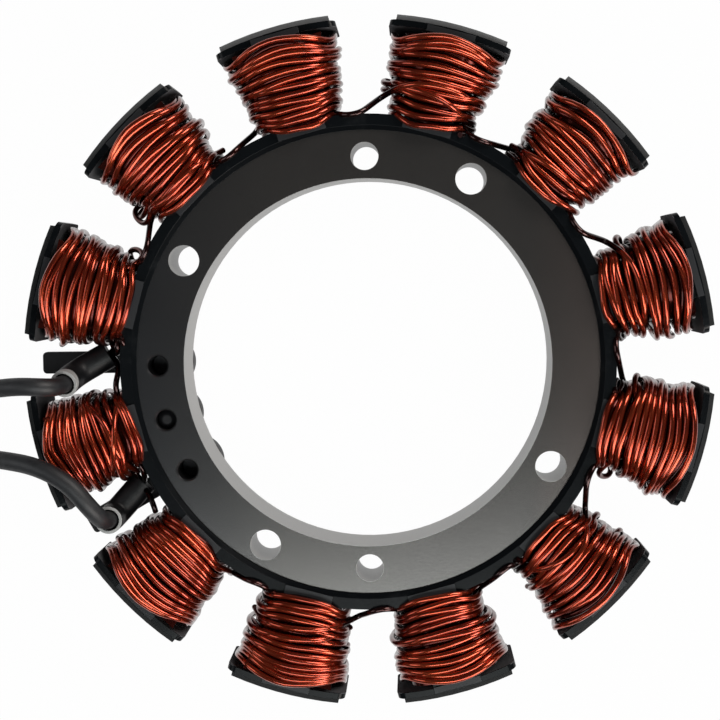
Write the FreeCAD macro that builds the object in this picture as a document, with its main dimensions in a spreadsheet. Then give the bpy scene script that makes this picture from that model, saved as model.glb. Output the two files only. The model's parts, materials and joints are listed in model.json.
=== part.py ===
"""Wound stator: a twelve-pole outward-facing motor stator with its two leads.

The bore axis is Z.  The origin is on that axis, on the rear steel face, and +Z points out of the
front face.  Every size is in millimetres and every angle in degrees, anticlockwise from +X.
"""

import FreeCAD, Part

import math
import os

import Sketcher

from FreeCAD import Placement, Rotation, Vector

SIZES = {
    # Laminated steel core
    "bore_radius": 50.8,
    "yoke_outer_radius": 66.5,
    "stack_height": 18.0,
    "pole_count": 12,
    "first_pole_angle": 15.0,
    "tooth_width": 10.0,
    "shoe_outer_radius": 95.5,
    "shoe_thickness": 1.5,
    "shoe_width": 30.9,
    # Holes through the yoke
    "mount_circle_radius": 58.0,
    "mount_hole_radius": 4.25,
    "mount_first_angle": 60.0,
    "pilot_circle_radius": 56.9,
    "pilot_hole_radius": 3.8,
    "pilot_first_angle": 90.0,
    "bracket_circle_radius": 58.2,
    "bracket_hole_radius": 2.75,
    "bracket_middle_angle": 195.0,
    "bracket_hole_step": 15.0,
    "bracket_countersink": 0.45,
    # Moulded winding insulators, one each side
    "rim_overlap": 2.5,
    "rim_reach": 1.8,
    "rim_height": 1.75,
    "rim_bevel": 1.2,
    "liner_wall": 1.2,
    "neck_width": 13.5,
    "neck_cap": 1.75,
    "root_inset": 1.0,
    "root_rise": 0.35,
    "flange_width": 33.9,
    "flange_wall": 1.8,
    "flange_rise": 1.9,
    "flange_corner": 2.5,
    "land_inset": 0.6,
    "land_rise": 0.35,
    "insulator_fit": 0.1,
    # Windings
    "wire_diameter": 1.65,
    "turns_in_layer": 10,
    "turn_depth": 0.85,
    "winding_inner_build": 2.3,
    "winding_outer_build": 6.2,
    "winding_side_bulge": 2.2,
    "winding_corner": 7.2,
    "winding_fit": 0.1,
    # Lead bracket behind the core
    "bracket_plate": 5.0,
    "bracket_lobe_radius": 7.6,
    "bracket_band_inner_radius": 53.5,
    "bracket_arm_width": 6.3,
    "bracket_arm_thickness": 3.0,
    "bracket_arm_setback": 0.5,
    "bracket_arm_corner": 1.2,
    "bracket_rim_fit": 0.25,
    "peg_depth_below_face": 2.2,
    "peg_dome_height": 1.3,
    "peg_dome_radius": 1.3,
    "peg_fit": 0.15,
    "screw_fit": 0.05,
    "screw_head_radius": 4.6,
    "screw_head_taper": 1.4,
    "screw_head_height": 2.4,
    "screw_socket_radius": 1.9,
    "screw_socket_depth": 1.7,
    "screw_engagement": 9.0,
    # Leads
    "lead_diameter": 5.0,
    "sleeve_outer_radius": 3.8,
    "sleeve_wall": 0.85,
    "sleeve_mouth_depth": 3.0,
    "lead_rise": 4.6,
    "coil_turn_radius": 25.0,
    "coil_centre_x": -152.0,
    "coil_stub": 17.0,
    "coil_clearance": 0.15,
    "coil_edge_chamfer": 1.25,
    "tie_thickness": 0.8,
    "tie_width": 3.6,
    "tie_fit": 0.1,
    "terminal_barrel_radius": 2.9,
    "terminal_barrel_length": 7.0,
    "terminal_tongue_width": 9.5,
    "terminal_tongue_thickness": 0.9,
    "terminal_hole_radius": 2.65,
    "terminal_tongue_reach": 9.5,
    # Crossover wires on the front rim
    "crossover_tuck": 0.6,
    "crossover_lead_in_angle": 1.6,
    "crossover_middle_lift": 0.2,
    "crossover_end_lift": 0.6,
    "crossover_near_share": 0.45,
    "crossover_far_share": 0.35,
}

# Each crossover: slot angle, where its outer end lies as a share of the way from the yoke to the
# pole shoes, and the angle each side of the slot.
CROSSOVERS = (
    (0, 0.203, 4.3),
    (30, 0.314, 4.4),
    (60, 0.210, 4.3),
    (90, 0.293, 4.5),
    (120, 0.183, 4.2),
    (150, 0.245, 4.3),
    (240, 0.272, 4.4),
    (270, 0.217, 4.3),
    (300, 0.259, 4.4),
    (330, 0.300, 4.5),
)

# Chosen points of the two lead sleeves: root, elbow below the mouth, mouth.  Each is a share of the
# way from the yoke to the pole shoes, an angle and a height.
SLEEVE_POINTS = (
    ((0.2162, 177.57, 11.0), (0.5424, 181.5, 12.0), (0.5938, 183.08, 22.0)),
    ((0.1931, 207.42, 10.0), (0.5990, 210.45, 11.5), (0.5990, 210.45, 21.0)),
)

# Chosen ends of the winding wires that come out of each sleeve's root and lie against a coil, given
# in the same way.
TAIL_ENDS = ((0.1345, 175.68, 11.6), (0.1783, 205.10, 10.6))

# Chosen points of the free leads between the mouth and the last run, which is level with the coil.
LEAD_ROUTES = (
    (
        (-87.6, -4.6, 30.8),
        (-94.5, -4.3, 30.6),
        (-103.0, -5.4, 26.6),
        (-111.0, -4.9, 17.6),
        (-118.2, -3.2, 7.4),
    ),
    (
        (-74.9, -37.9, 31.2),
        (-80.4, -30.6, 32.4),
        (-89.2, -26.0, 31.4),
        (-99.4, -24.6, 27.6),
        (-108.8, -25.0, 19.0),
        (-117.4, -26.3, 8.2),
    ),
)

# Where each lead comes level, and the height across the part at which it then runs into its coil.
LEAD_LANDINGS = ((-126.6, -2.6), (-126.2, -26.8))

os.makedirs("parts", exist_ok=True)
doc = FreeCAD.newDocument("wound_stator")


class Size:
    """A number together with the spreadsheet expression that gives it."""

    def __init__(self, value, text):
        self.value = float(value)
        self.text = text

    def _join(self, sign, other, result):
        other_text = other.text if isinstance(other, Size) else repr(float(other))
        return Size(result, f"({self.text} {sign} {other_text})")

    def __add__(self, other):
        return self._join("+", other, self.value + float(other))

    def __sub__(self, other):
        return self._join("-", other, self.value - float(other))

    def __mul__(self, other):
        return self._join("*", other, self.value * float(other))

    def __truediv__(self, other):
        return self._join("/", other, self.value / float(other))

    def __float__(self):
        return self.value


def make_sizes():
    """Put the driving sizes in a sheet and give each back under its own name."""
    sheet = doc.addObject("Spreadsheet::Sheet", "sizes")
    for row, (alias, number) in enumerate(SIZES.items(), start=1):
        sheet.set(f"A{row}", alias)
        sheet.set(f"B{row}", str(number))
        sheet.setAlias(f"B{row}", alias)
    doc.recompute()
    return {alias: Size(sheet.get(alias), f"sizes.{alias}") for alias in SIZES}


S = make_sizes()
zero = Size(0.0, "0")
shoe_inner_radius = S["shoe_outer_radius"] - S["shoe_thickness"]
flange_inner_radius = shoe_inner_radius - S["flange_wall"]
half_stack = S["stack_height"] / 2
rim_inner_radius = S["yoke_outer_radius"] - S["rim_overlap"]
rim_outer_radius = S["yoke_outer_radius"] + S["rim_reach"]
rim_top = S["stack_height"] + S["rim_height"]
pole_step = 360.0 / float(S["pole_count"])
touch = 0.01
half_wire = float(S["wire_diameter"]) / 2
half_neck = S["neck_width"] / 2
coil_start = float(rim_outer_radius) + float(S["winding_fit"])
crest_build = float(S["winding_outer_build"]) + float(S["turn_depth"]) / 2


def polar(radius, angle, height=0.0):
    """The point at a radius and an angle about the bore axis."""
    turn = math.radians(angle)
    return Vector(radius * math.cos(turn), radius * math.sin(turn), height)


def pole_angle(number):
    return float(S["first_pole_angle"]) + number * pole_step


def slot_radius(share):
    """The radius at a share of the way from the yoke to the pole shoes."""
    yoke = float(S["yoke_outer_radius"])
    return yoke + share * (float(S["shoe_outer_radius"]) - yoke)


def slot_point(share, angle, height):
    """A point in a slot, as a plain tuple."""
    return tuple(polar(slot_radius(share), angle, height))


def sleeve_route(order):
    """The points of one sleeve in the part's own frame."""
    return [slot_point(*point) for point in SLEEVE_POINTS[order]]


# Part design helpers


def make_body(name):
    body = doc.addObject("PartDesign::Body", name)
    body.Label = name
    return body


def make_sketch(body, name, role="XY_Plane", lift=None, turn=None):
    """An empty sketch on one of the body's own planes, lifted along and turned about its normal."""
    sketch = body.newObject("Sketcher::SketchObject", name)
    plane = next(part for part in body.Origin.OriginFeatures if part.Role == role)
    sketch.AttachmentSupport = [(plane, "")]
    sketch.MapMode = "FlatFace"
    if turn is not None:
        sketch.AttachmentOffset = Placement(Vector(), Rotation(Vector(0, 0, 1), float(turn)))
        sketch.setExpression("AttachmentOffset.Rotation.Angle", turn.text)
    if lift is not None:
        sketch.setExpression("AttachmentOffset.Base.z", lift.text)
    return sketch


def bind(sketch, constraint, size):
    """Add a dimension to the sketch and tie it to the sheet."""
    index = sketch.addConstraint(constraint)
    sketch.setExpression(f"Constraints[{index}]", size.text)


def add_circle(sketch, radius, centre_x=zero):
    """A circle on the sketch's X axis."""
    circle = Part.Circle(Vector(float(centre_x), 0, 0), Vector(0, 0, 1), float(radius))
    index = sketch.addGeometry(circle)
    bind(sketch, Sketcher.Constraint("Radius", index, float(radius)), radius)
    if float(centre_x) == 0.0:
        sketch.addConstraint(Sketcher.Constraint("Coincident", index, 3, -1, 1))
        return
    sketch.addConstraint(Sketcher.Constraint("PointOnObject", index, 3, -1))
    bind(sketch, Sketcher.Constraint("DistanceX", -1, 1, index, 3, float(centre_x)), centre_x)


def add_line(sketch, start, end):
    return sketch.addGeometry(Part.LineSegment(Vector(*start, 0), Vector(*end, 0)))


def add_arc(sketch, radius, low, high):
    """An arc about the origin between two heights above the X axis."""
    first = math.asin(low / float(radius))
    last = math.asin(high / float(radius))
    circle = Part.Circle(Vector(), Vector(0, 0, 1), float(radius))
    index = sketch.addGeometry(Part.ArcOfCircle(circle, first, last))
    sketch.addConstraint(Sketcher.Constraint("Coincident", index, 3, -1, 1))
    bind(sketch, Sketcher.Constraint("Radius", index, float(radius)), radius)
    return index


def join(sketch, first, first_end, second, second_end):
    sketch.addConstraint(Sketcher.Constraint("Coincident", first, first_end, second, second_end))


def add_bar(sketch, near, far, width):
    """A rectangle centred on the X axis between two distances from the origin."""
    x0, x1, y = float(near), float(far), float(width) / 2
    corners = ((x0, -y), (x1, -y), (x1, y), (x0, y))
    lines = [add_line(sketch, corners[i], corners[(i + 1) % 4]) for i in range(4)]
    for i in range(4):
        join(sketch, lines[i], 2, lines[(i + 1) % 4], 1)
    for i, direction in enumerate(("Horizontal", "Vertical", "Horizontal", "Vertical")):
        sketch.addConstraint(Sketcher.Constraint(direction, lines[i]))
    bind(sketch, Sketcher.Constraint("DistanceX", -1, 1, lines[0], 1, x0), near)
    bind(sketch, Sketcher.Constraint("DistanceX", -1, 1, lines[0], 2, x1), far)
    bind(sketch, Sketcher.Constraint("DistanceY", lines[0], 2, -1, 1, y), width / 2)
    bind(sketch, Sketcher.Constraint("DistanceY", -1, 1, lines[2], 1, y), width / 2)


def add_sector(sketch, inner, outer, width):
    """A band about the origin, cut off parallel to the X axis at half its width each side."""
    y = float(width) / 2
    inside = add_arc(sketch, inner, -y, y)
    outside = add_arc(sketch, outer, -y, y)
    ends = []
    for arc_end, height in ((1, -y), (2, y)):
        near = math.sqrt(float(inner) ** 2 - y * y)
        far = math.sqrt(float(outer) ** 2 - y * y)
        end = add_line(sketch, (near, height), (far, height))
        join(sketch, end, 1, inside, arc_end)
        join(sketch, end, 2, outside, arc_end)
        sketch.addConstraint(Sketcher.Constraint("Horizontal", end))
        ends.append(end)
    bind(sketch, Sketcher.Constraint("DistanceY", ends[0], 1, -1, 1, y), width / 2)
    bind(sketch, Sketcher.Constraint("DistanceY", -1, 1, ends[1], 1, y), width / 2)


def pad(body, name, sketch, length, downwards=False):
    feature = body.newObject("PartDesign::Pad", name)
    feature.Profile = sketch
    feature.setExpression("Length", length.text)
    feature.Reversed = downwards
    return feature


def pocket(body, name, sketch, length, upwards=True):
    """A cut from the sketch's plane, upwards where the solid lies above it."""
    feature = body.newObject("PartDesign::Pocket", name)
    feature.Profile = sketch
    feature.setExpression("Length", length.text)
    feature.Reversed = upwards
    return feature


def around(body, name, feature, count, span=360.0):
    """Repeat a feature about the bore axis and make the repeat the body's tip."""
    pattern = body.newObject("PartDesign::PolarPattern", name)
    pattern.Originals = [feature]
    axis = next(part for part in body.Origin.OriginFeatures if part.Role == "Z_Axis")
    pattern.Axis = (axis, [""])
    pattern.Angle = span
    pattern.Occurrences = int(float(count))
    body.Tip = pattern
    return pattern


def stand_in(name, shape):
    """A sub-part whose shape comes straight from the geometry functions."""
    piece = doc.addObject("Part::Feature", name)
    piece.Label = name
    piece.Shape = shape
    return piece


# Steel core


def make_core():
    """One bonded stack: yoke ring, twelve teeth with their shoes, and the holes of the yoke."""
    body = make_body("core")
    ring = make_sketch(body, "yoke_outline")
    add_circle(ring, S["yoke_outer_radius"])
    add_circle(ring, S["bore_radius"])
    pad(body, "yoke", ring, S["stack_height"])
    neck = make_sketch(body, "tooth_outline", turn=S["first_pole_angle"])
    add_bar(neck, S["yoke_outer_radius"] - S["liner_wall"], shoe_inner_radius + S["shoe_thickness"] / 2,
            S["tooth_width"])
    around(body, "teeth", pad(body, "tooth", neck, S["stack_height"]), S["pole_count"])
    tip = make_sketch(body, "shoe_outline", turn=S["first_pole_angle"])
    add_sector(tip, shoe_inner_radius, S["shoe_outer_radius"], S["shoe_width"])
    around(body, "shoes", pad(body, "shoe", tip, S["stack_height"]), S["pole_count"])
    holes = (
        ("mount_hole", S["mount_circle_radius"], S["mount_hole_radius"], S["mount_first_angle"], 4, 360.0),
        ("pilot_hole", S["pilot_circle_radius"], S["pilot_hole_radius"], S["pilot_first_angle"], 2, 360.0),
        ("bracket_hole", S["bracket_circle_radius"], S["bracket_hole_radius"],
         S["bracket_middle_angle"] - S["bracket_hole_step"], 3, 2 * float(S["bracket_hole_step"])),
    )
    for name, circle, radius, first, count, span in holes:
        sketch = make_sketch(body, f"{name}_outline", turn=first)
        add_circle(sketch, radius, circle)
        around(body, f"{name}s", pocket(body, name, sketch, S["stack_height"]), count, span)
    doc.recompute()
    drilled = body.Tip
    rims = []
    for index, edge in enumerate(drilled.Shape.Edges, start=1):
        if not isinstance(edge.Curve, Part.Circle):
            continue
        on_face = abs(edge.Curve.Center.z - float(S["stack_height"])) < touch
        if on_face and abs(edge.Curve.Radius - float(S["bracket_hole_radius"])) < touch:
            rims.append(f"Edge{index}")
    countersink = body.newObject("PartDesign::Chamfer", "bracket_hole_countersinks")
    countersink.Base = (drilled, rims)
    countersink.setExpression("Size", S["bracket_countersink"].text)
    body.Tip = countersink
    return body


# Moulded insulators


def bevel_rim(body, name, front):
    """Bevel the rim's inner top edge."""
    doc.recompute()
    square = body.Tip
    level = float(rim_top) if front else -float(S["rim_height"])
    edges = []
    for index, edge in enumerate(square.Shape.Edges, start=1):
        if not isinstance(edge.Curve, Part.Circle):
            continue
        on_top = abs(edge.Curve.Center.z - level) < touch
        if on_top and abs(edge.Curve.Radius - float(rim_inner_radius)) < touch:
            edges.append(f"Edge{index}")
    bevel = body.newObject("PartDesign::Chamfer", f"{name}_rim_bevel")
    bevel.Base = (square, edges)
    bevel.setExpression("Size", S["rim_bevel"].text)
    body.Tip = bevel


def make_insulator(name, front):
    """Half of the bobbin set: rim, slot liner, neck channels and outer flanges."""
    body = make_body(name)
    turn = S["first_pole_angle"]
    liner = make_sketch(body, f"{name}_liner_outline", lift=half_stack)
    add_circle(liner, S["yoke_outer_radius"] + S["insulator_fit"] + S["liner_wall"])
    add_circle(liner, S["yoke_outer_radius"] + S["insulator_fit"])
    pad(body, f"{name}_liner", liner, half_stack, not front)
    neck = make_sketch(body, f"{name}_neck_outline", lift=half_stack, turn=turn)
    add_bar(neck, S["yoke_outer_radius"] + S["insulator_fit"] + S["liner_wall"] / 2,
            flange_inner_radius + S["flange_wall"] / 2, S["neck_width"])
    channel = pad(body, f"{name}_neck", neck, half_stack + S["neck_cap"], not front)
    around(body, f"{name}_necks", channel, S["pole_count"])
    flange = make_sketch(body, f"{name}_flange_outline", lift=half_stack, turn=turn)
    add_sector(flange, flange_inner_radius, shoe_inner_radius - S["insulator_fit"], S["flange_width"])
    cheek = pad(body, f"{name}_flange", flange, half_stack + S["flange_rise"], not front)
    around(body, f"{name}_flanges", cheek, S["pole_count"])
    rim = make_sketch(body, f"{name}_rim_outline", lift=S["stack_height"] if front else zero)
    add_circle(rim, rim_outer_radius)
    add_circle(rim, rim_inner_radius)
    pad(body, f"{name}_rim", rim, S["rim_height"], not front)
    bevel_rim(body, name, front)
    root = make_sketch(body, f"{name}_root_outline", lift=S["stack_height"] if front else zero, turn=turn)
    add_bar(root, rim_inner_radius + S["root_inset"], rim_outer_radius, S["neck_width"])
    facet = pad(body, f"{name}_root", root, S["neck_cap"] + S["root_rise"], not front)
    around(body, f"{name}_roots", facet, S["pole_count"])
    bed = make_sketch(body, f"{name}_tooth_bed", lift=half_stack, turn=turn)
    add_bar(bed, S["yoke_outer_radius"] - S["liner_wall"], S["shoe_outer_radius"],
            S["tooth_width"] + S["insulator_fit"] * 2)
    slot = pocket(body, f"{name}_tooth_channel", bed, half_stack, front)
    around(body, f"{name}_tooth_channels", slot, S["pole_count"])
    doc.recompute()
    level = float(S["stack_height"]) + float(S["flange_rise"]) if front else -float(S["flange_rise"])
    square = body.Tip
    corners = []
    for index, edge in enumerate(square.Shape.Edges, start=1):
        ends = [vertex.Point for vertex in edge.Vertexes]
        if len(ends) != 2 or not isinstance(edge.Curve, Part.Line):
            continue
        flat = all(abs(point.z - level) < touch for point in ends)
        outside = all(math.hypot(point.x, point.y) > float(flange_inner_radius) - touch for point in ends)
        if flat and outside:
            corners.append(f"Edge{index}")
    rounding = body.newObject("PartDesign::Fillet", f"{name}_flange_corners")
    rounding.Base = (square, corners)
    rounding.setExpression("Radius", S["flange_corner"].text)
    body.Tip = rounding
    land = make_sketch(body, f"{name}_land_outline", lift=S["stack_height"] if front else zero, turn=turn)
    add_bar(land, flange_inner_radius - S["land_inset"], shoe_inner_radius - S["land_inset"], S["neck_width"])
    plate = pad(body, f"{name}_land", land, S["flange_rise"] + S["land_rise"], not front)
    around(body, f"{name}_lands", plate, S["pole_count"])
    return body


# Windings


def loop_outline(build):
    """Twelve corners of the winding's loop round a pole, as (across, height) from its middle."""
    half_width = float(half_neck) + float(S["winding_fit"]) + float(S["winding_side_bulge"]) + build
    half_height = float(half_stack) + float(S["neck_cap"]) + float(S["winding_fit"]) + build
    corner = float(S["winding_corner"])
    outline = []
    for quarter in range(4):
        across = 1 if quarter in (0, 3) else -1
        upward = 1 if quarter in (0, 1) else -1
        steps = (0.0, 45.0, 90.0) if across == upward else (90.0, 45.0, 0.0)
        for step in steps:
            out = math.cos(math.radians(step)) * corner
            rise = math.sin(math.radians(step)) * corner
            outline.append((across * (half_width - corner + out), upward * (half_height - corner + rise)))
    return outline


def winding_stations():
    """Distances from the bore axis and builds, groove by groove and crest by crest."""
    turns = int(float(S["turns_in_layer"]))
    widest = float(half_neck) + float(S["winding_side_bulge"]) + crest_build
    ear_face = math.sqrt(float(flange_inner_radius) ** 2 - widest ** 2)
    end = ear_face - float(S["winding_fit"])
    pitch = (end - coil_start) / turns
    depth = float(S["turn_depth"]) / 2
    growth = float(S["winding_outer_build"]) - float(S["winding_inner_build"])
    flank = (pitch - half_wire) / 2
    stations = [(coil_start, -depth)]
    for turn in range(turns):
        start = coil_start + turn * pitch
        stations.append((start + flank, depth))
        stations.append((start + pitch - flank, depth))
        stations.append((start + pitch, -depth))
    return [
        (along, float(S["winding_inner_build"]) + growth * (along - coil_start) / (end - coil_start) + swell)
        for along, swell in stations
    ]


def rest_level():
    """The height of the lowest crest at the rear, on which the stator lies."""
    deepest = max(build for along, build in winding_stations())
    return -float(S["neck_cap"]) - float(S["winding_fit"]) - deepest


def make_winding(number):
    """One coil with its outer layer's turns as ridges, and the pole's neck passing through it."""
    wires = []
    middle = float(half_stack)
    stations = winding_stations()
    for along, build in stations:
        corners = [Vector(along, across, middle + height) for across, height in loop_outline(build)]
        wires.append(Part.makePolygon(corners + corners[:1]))
    winding = Part.makeLoft(wires, True, True)
    hole_width = float(S["neck_width"]) + 2 * float(S["winding_fit"])
    hole_height = float(S["stack_height"]) + 2 * (float(S["neck_cap"]) + float(S["winding_fit"]))
    length = stations[-1][0] - stations[0][0]
    corner = Vector(stations[0][0], -hole_width / 2, middle - hole_height / 2)
    winding = winding.cut(Part.makeBox(length, hole_width, hole_height, corner))
    winding.rotate(Vector(), Vector(0, 0, 1), pole_angle(number))
    return stand_in(f"coil_{number + 1:02d}", winding.Solids[0])


def prism_along(points, radius):
    """A six-sided bar along straight runs with mitred corners."""
    sides = 6
    points = [Vector(*point) for point in points]
    wires = []
    normal = Vector(0, 0, 1)
    for index, point in enumerate(points):
        before = point - points[index - 1] if index else points[1] - point
        after = points[index + 1] - point if index < len(points) - 1 else before
        heading = before.normalize() + after.normalize()
        heading.normalize()
        side = heading.cross(normal).normalize()
        up = side.cross(heading).normalize()
        ring = []
        for step in range(sides):
            turn = 2 * math.pi * step / sides
            ring.append(point + side * (radius * math.cos(turn)) + up * (radius * math.sin(turn)))
        wires.append(Part.makePolygon(ring + ring[:1]))
    return Part.makeLoft(wires, True, True)


def make_crossover(order, slot, outer_radius, spread):
    """The wire that runs over the front rim from one coil's start to the side of the next."""
    above_rim = float(rim_top) + half_wire + float(S["winding_fit"])
    inner_radius = float(rim_outer_radius) - half_wire
    points = (
        polar(inner_radius - float(S["crossover_tuck"]), slot + spread + float(S["crossover_lead_in_angle"]),
              above_rim),
        polar(inner_radius, slot + spread * float(S["crossover_near_share"]), above_rim),
        polar((inner_radius + outer_radius) / 2, slot - spread * float(S["crossover_far_share"]),
              above_rim + float(S["crossover_middle_lift"])),
        polar(outer_radius, slot - spread, above_rim + float(S["crossover_end_lift"])),
    )
    return stand_in(f"crossover_{order + 1:02d}", prism_along(points, half_wire))


# Lead bracket and its screws


def make_bracket():
    """Plate behind the yoke with three lobes, a locating peg and two arms in the slots beside it."""
    middle = float(S["bracket_middle_angle"])
    step = float(S["bracket_hole_step"])
    circle = float(S["bracket_circle_radius"])
    plate = float(S["bracket_plate"])
    outer = float(rim_inner_radius) - float(S["bracket_rim_fit"])
    lobe = float(S["bracket_lobe_radius"])
    places = [middle + side * step for side in (-1, 0, 1)]
    lobes = [Part.makeCylinder(lobe, plate, polar(circle, place, -plate)) for place in places]
    band = Part.makeCylinder(outer, plate, Vector(0, 0, -plate), Vector(0, 0, 1), 2 * step)
    band.rotate(Vector(), Vector(0, 0, 1), middle - step)
    band = band.cut(Part.makeCylinder(float(S["bracket_band_inner_radius"]), plate, Vector(0, 0, -plate)))
    solid = band.multiFuse(lobes).common(Part.makeCylinder(outer, plate, Vector(0, 0, -plate)))
    width = float(S["bracket_arm_width"])
    thickness = float(S["bracket_arm_thickness"])
    arms = []
    reach_radius = float(S["shoe_outer_radius"] - S["bracket_arm_setback"])
    for side in (-1, 1):
        reach = reach_radius - circle
        arm = Part.makeBox(reach, width, thickness, Vector(circle, -width / 2, -plate))
        tips = [edge for edge in arm.Edges
                if all(abs(vertex.X - reach_radius) < touch for vertex in edge.Vertexes)
                and abs(edge.Vertexes[0].Z - edge.Vertexes[1].Z) > touch]
        arm = arm.makeFillet(float(S["bracket_arm_corner"]), tips)
        arm.rotate(Vector(), Vector(0, 0, 1), middle + side * step)
        arms.append(arm)
    solid = solid.multiFuse(arms)
    peg_radius = float(S["bracket_hole_radius"]) - float(S["peg_fit"])
    peg_top = float(S["stack_height"]) - float(S["peg_depth_below_face"])
    dome = float(S["peg_dome_height"])
    foot = polar(circle, middle, -plate / 2)
    peg = Part.makeCylinder(peg_radius, peg_top - dome + plate / 2, foot)
    shoulder = polar(circle, middle, peg_top - dome)
    peg = peg.fuse(Part.makeCone(peg_radius, float(S["peg_dome_radius"]), dome, shoulder))
    solid = solid.fuse(peg)
    for side in (-1, 1):
        place = middle + side * step
        shank = float(S["bracket_hole_radius"])
        solid = solid.cut(Part.makeCylinder(shank, plate, polar(circle, place, -plate)))
    return stand_in("lead_bracket", solid.removeSplitter().Solids[0])


def make_bracket_screw(order, side):
    """Button screw driven from behind into the tapped hole of the yoke."""
    place = float(S["bracket_middle_angle"]) + side * float(S["bracket_hole_step"])
    circle = float(S["bracket_circle_radius"])
    plate = float(S["bracket_plate"])
    head = float(S["screw_head_height"])
    shank = float(S["bracket_hole_radius"]) - float(S["screw_fit"])
    solid = Part.makeCylinder(shank, plate + float(S["screw_engagement"]), polar(circle, place, -plate))
    crown = float(S["screw_head_radius"]) - float(S["screw_head_taper"])
    foot = polar(circle, place, -plate - head)
    cap = Part.makeCone(crown, float(S["screw_head_radius"]), head, foot)
    socket = Part.makeCylinder(float(S["screw_socket_radius"]), float(S["screw_socket_depth"]), foot)
    return stand_in(f"bracket_screw_{order}", solid.fuse(cap).cut(socket).removeSplitter().Solids[0])


# Leads


def tangent_path(points, label):
    """Straight runs through the points, joined by the largest arcs that both runs allow."""
    points = [Vector(*point) for point in points]
    edges = []
    start = points[0]
    radii = []
    for index in range(1, len(points) - 1):
        before = points[index] - points[index - 1]
        after = points[index + 1] - points[index]
        turn = before.getAngle(after)
        reach = 0.45 * min(before.Length, after.Length)
        radii.append(reach / math.tan(turn / 2))
        before.normalize()
        after.normalize()
        first = points[index] - before * reach
        last = points[index] + after * reach
        inward = (after - before).normalize()
        sag = radii[-1] * (1 / math.cos(turn / 2) - 1)
        edges.append(Part.LineSegment(start, first).toShape())
        edges.append(Part.Arc(first, points[index] + inward * sag, last).toShape())
        start = last
    edges.append(Part.LineSegment(start, points[-1]).toShape())
    print(label, "bend radii", " ".join(f"{radius:.1f}" for radius in radii))
    return Part.Wire(edges)


def tube_along(points, radius, label):
    """A round bar along a tangent path, checked against its section times its length."""
    path = tangent_path(points, label)
    heading = Vector(*points[1]) - Vector(*points[0])
    section = Part.Wire(Part.Circle(Vector(*points[0]), heading, radius).toShape())
    solid = path.makePipe(Part.Face(section))
    wanted = math.pi * radius * radius * path.Length
    print(label, "length", round(path.Length, 1), "volume ratio", round(solid.Volume / wanted, 4))
    return solid


def mouth_inward(route):
    """The way into a sleeve's mouth."""
    return (Vector(*route[-2]) - Vector(*route[-1])).normalize()


def make_sleeve(order, route):
    """Shrink sleeve over the joint of winding and lead, open at its mouth."""
    radius = float(S["sleeve_outer_radius"])
    solid = tube_along(route, radius, f"lead_sleeve_{order}")
    depth = float(S["sleeve_mouth_depth"])
    inward = mouth_inward(route)
    mouth = Vector(*route[-1])
    recess = Part.makeCylinder(radius - float(S["sleeve_wall"]), depth, mouth, inward)
    return stand_in(f"lead_sleeve_{order}", solid.cut(recess).Solids[0])


def make_tail(order, route):
    """Winding wire from the sleeve's root to the side of its coil."""
    root = Vector(*route[0])
    out = (root - Vector(*route[1])).normalize()
    points = [tuple(root), tuple(root + out * float(S["wire_diameter"])), slot_point(*TAIL_ENDS[order])]
    return stand_in(f"winding_tail_{order + 1}", prism_along(points, half_wire))


def coil_levels():
    """Heights of the lead's middle in the upper and in the lower turn."""
    band = float(S["tie_thickness"]) + float(S["tie_fit"])
    lower = rest_level() + band + float(S["lead_diameter"]) / 2 + float(S["coil_clearance"])
    return lower + float(S["lead_diameter"]) + float(S["coil_clearance"]), lower


def lead_route(order):
    """Whole route of one lead: out of its mouth, over the side and down to the coil's stub."""
    mouth = Vector(*sleeve_route(order)[-1])
    start = mouth + mouth_inward(sleeve_route(order)) * float(S["sleeve_mouth_depth"])
    rise = start - mouth
    above = mouth - rise * (float(S["lead_rise"]) / rise.Length)
    level_x, level_y = LEAD_LANDINGS[order]
    upper = coil_levels()[0]
    end = (float(S["coil_centre_x"]) + float(S["coil_stub"]), level_y, upper)
    return [tuple(start), tuple(above), *LEAD_ROUTES[order], (level_x, level_y, upper), end]


def make_lead_coil(order):
    """Closed outer shape of two stacked turns, with the straight ends where the lead comes and goes."""
    radius = float(S["lead_diameter"]) / 2
    wall = radius + float(S["coil_clearance"])
    side = 1 if order == 0 else -1
    upper, lower = coil_levels()
    turn = float(S["coil_turn_radius"])
    entry_y = LEAD_LANDINGS[order][1]
    centre = Vector(float(S["coil_centre_x"]), entry_y + side * turn, 0)
    outer = Part.makeCylinder(turn + wall, upper - lower + 2 * wall, centre + Vector(0, 0, lower - wall))
    inner = Part.makeCylinder(turn - wall, upper - lower + 2 * wall, centre + Vector(0, 0, lower - wall))
    ring = outer.cut(inner)
    round_edges = [edge for edge in ring.Edges if len(edge.Vertexes) == 1]
    ring = ring.makeChamfer(float(S["coil_edge_chamfer"]), round_edges)
    stub = float(S["coil_stub"])
    arriving = Part.makeCylinder(radius, stub, Vector(centre.x, entry_y, upper), Vector(1, 0, 0))
    leaving = Part.makeCylinder(radius, stub, Vector(centre.x, entry_y, lower), Vector(-1, 0, 0))
    solid = ring.fuse(arriving).fuse(leaving).removeSplitter().Solids[0]
    return stand_in(f"lead_coil_{order + 1}", solid), centre


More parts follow.
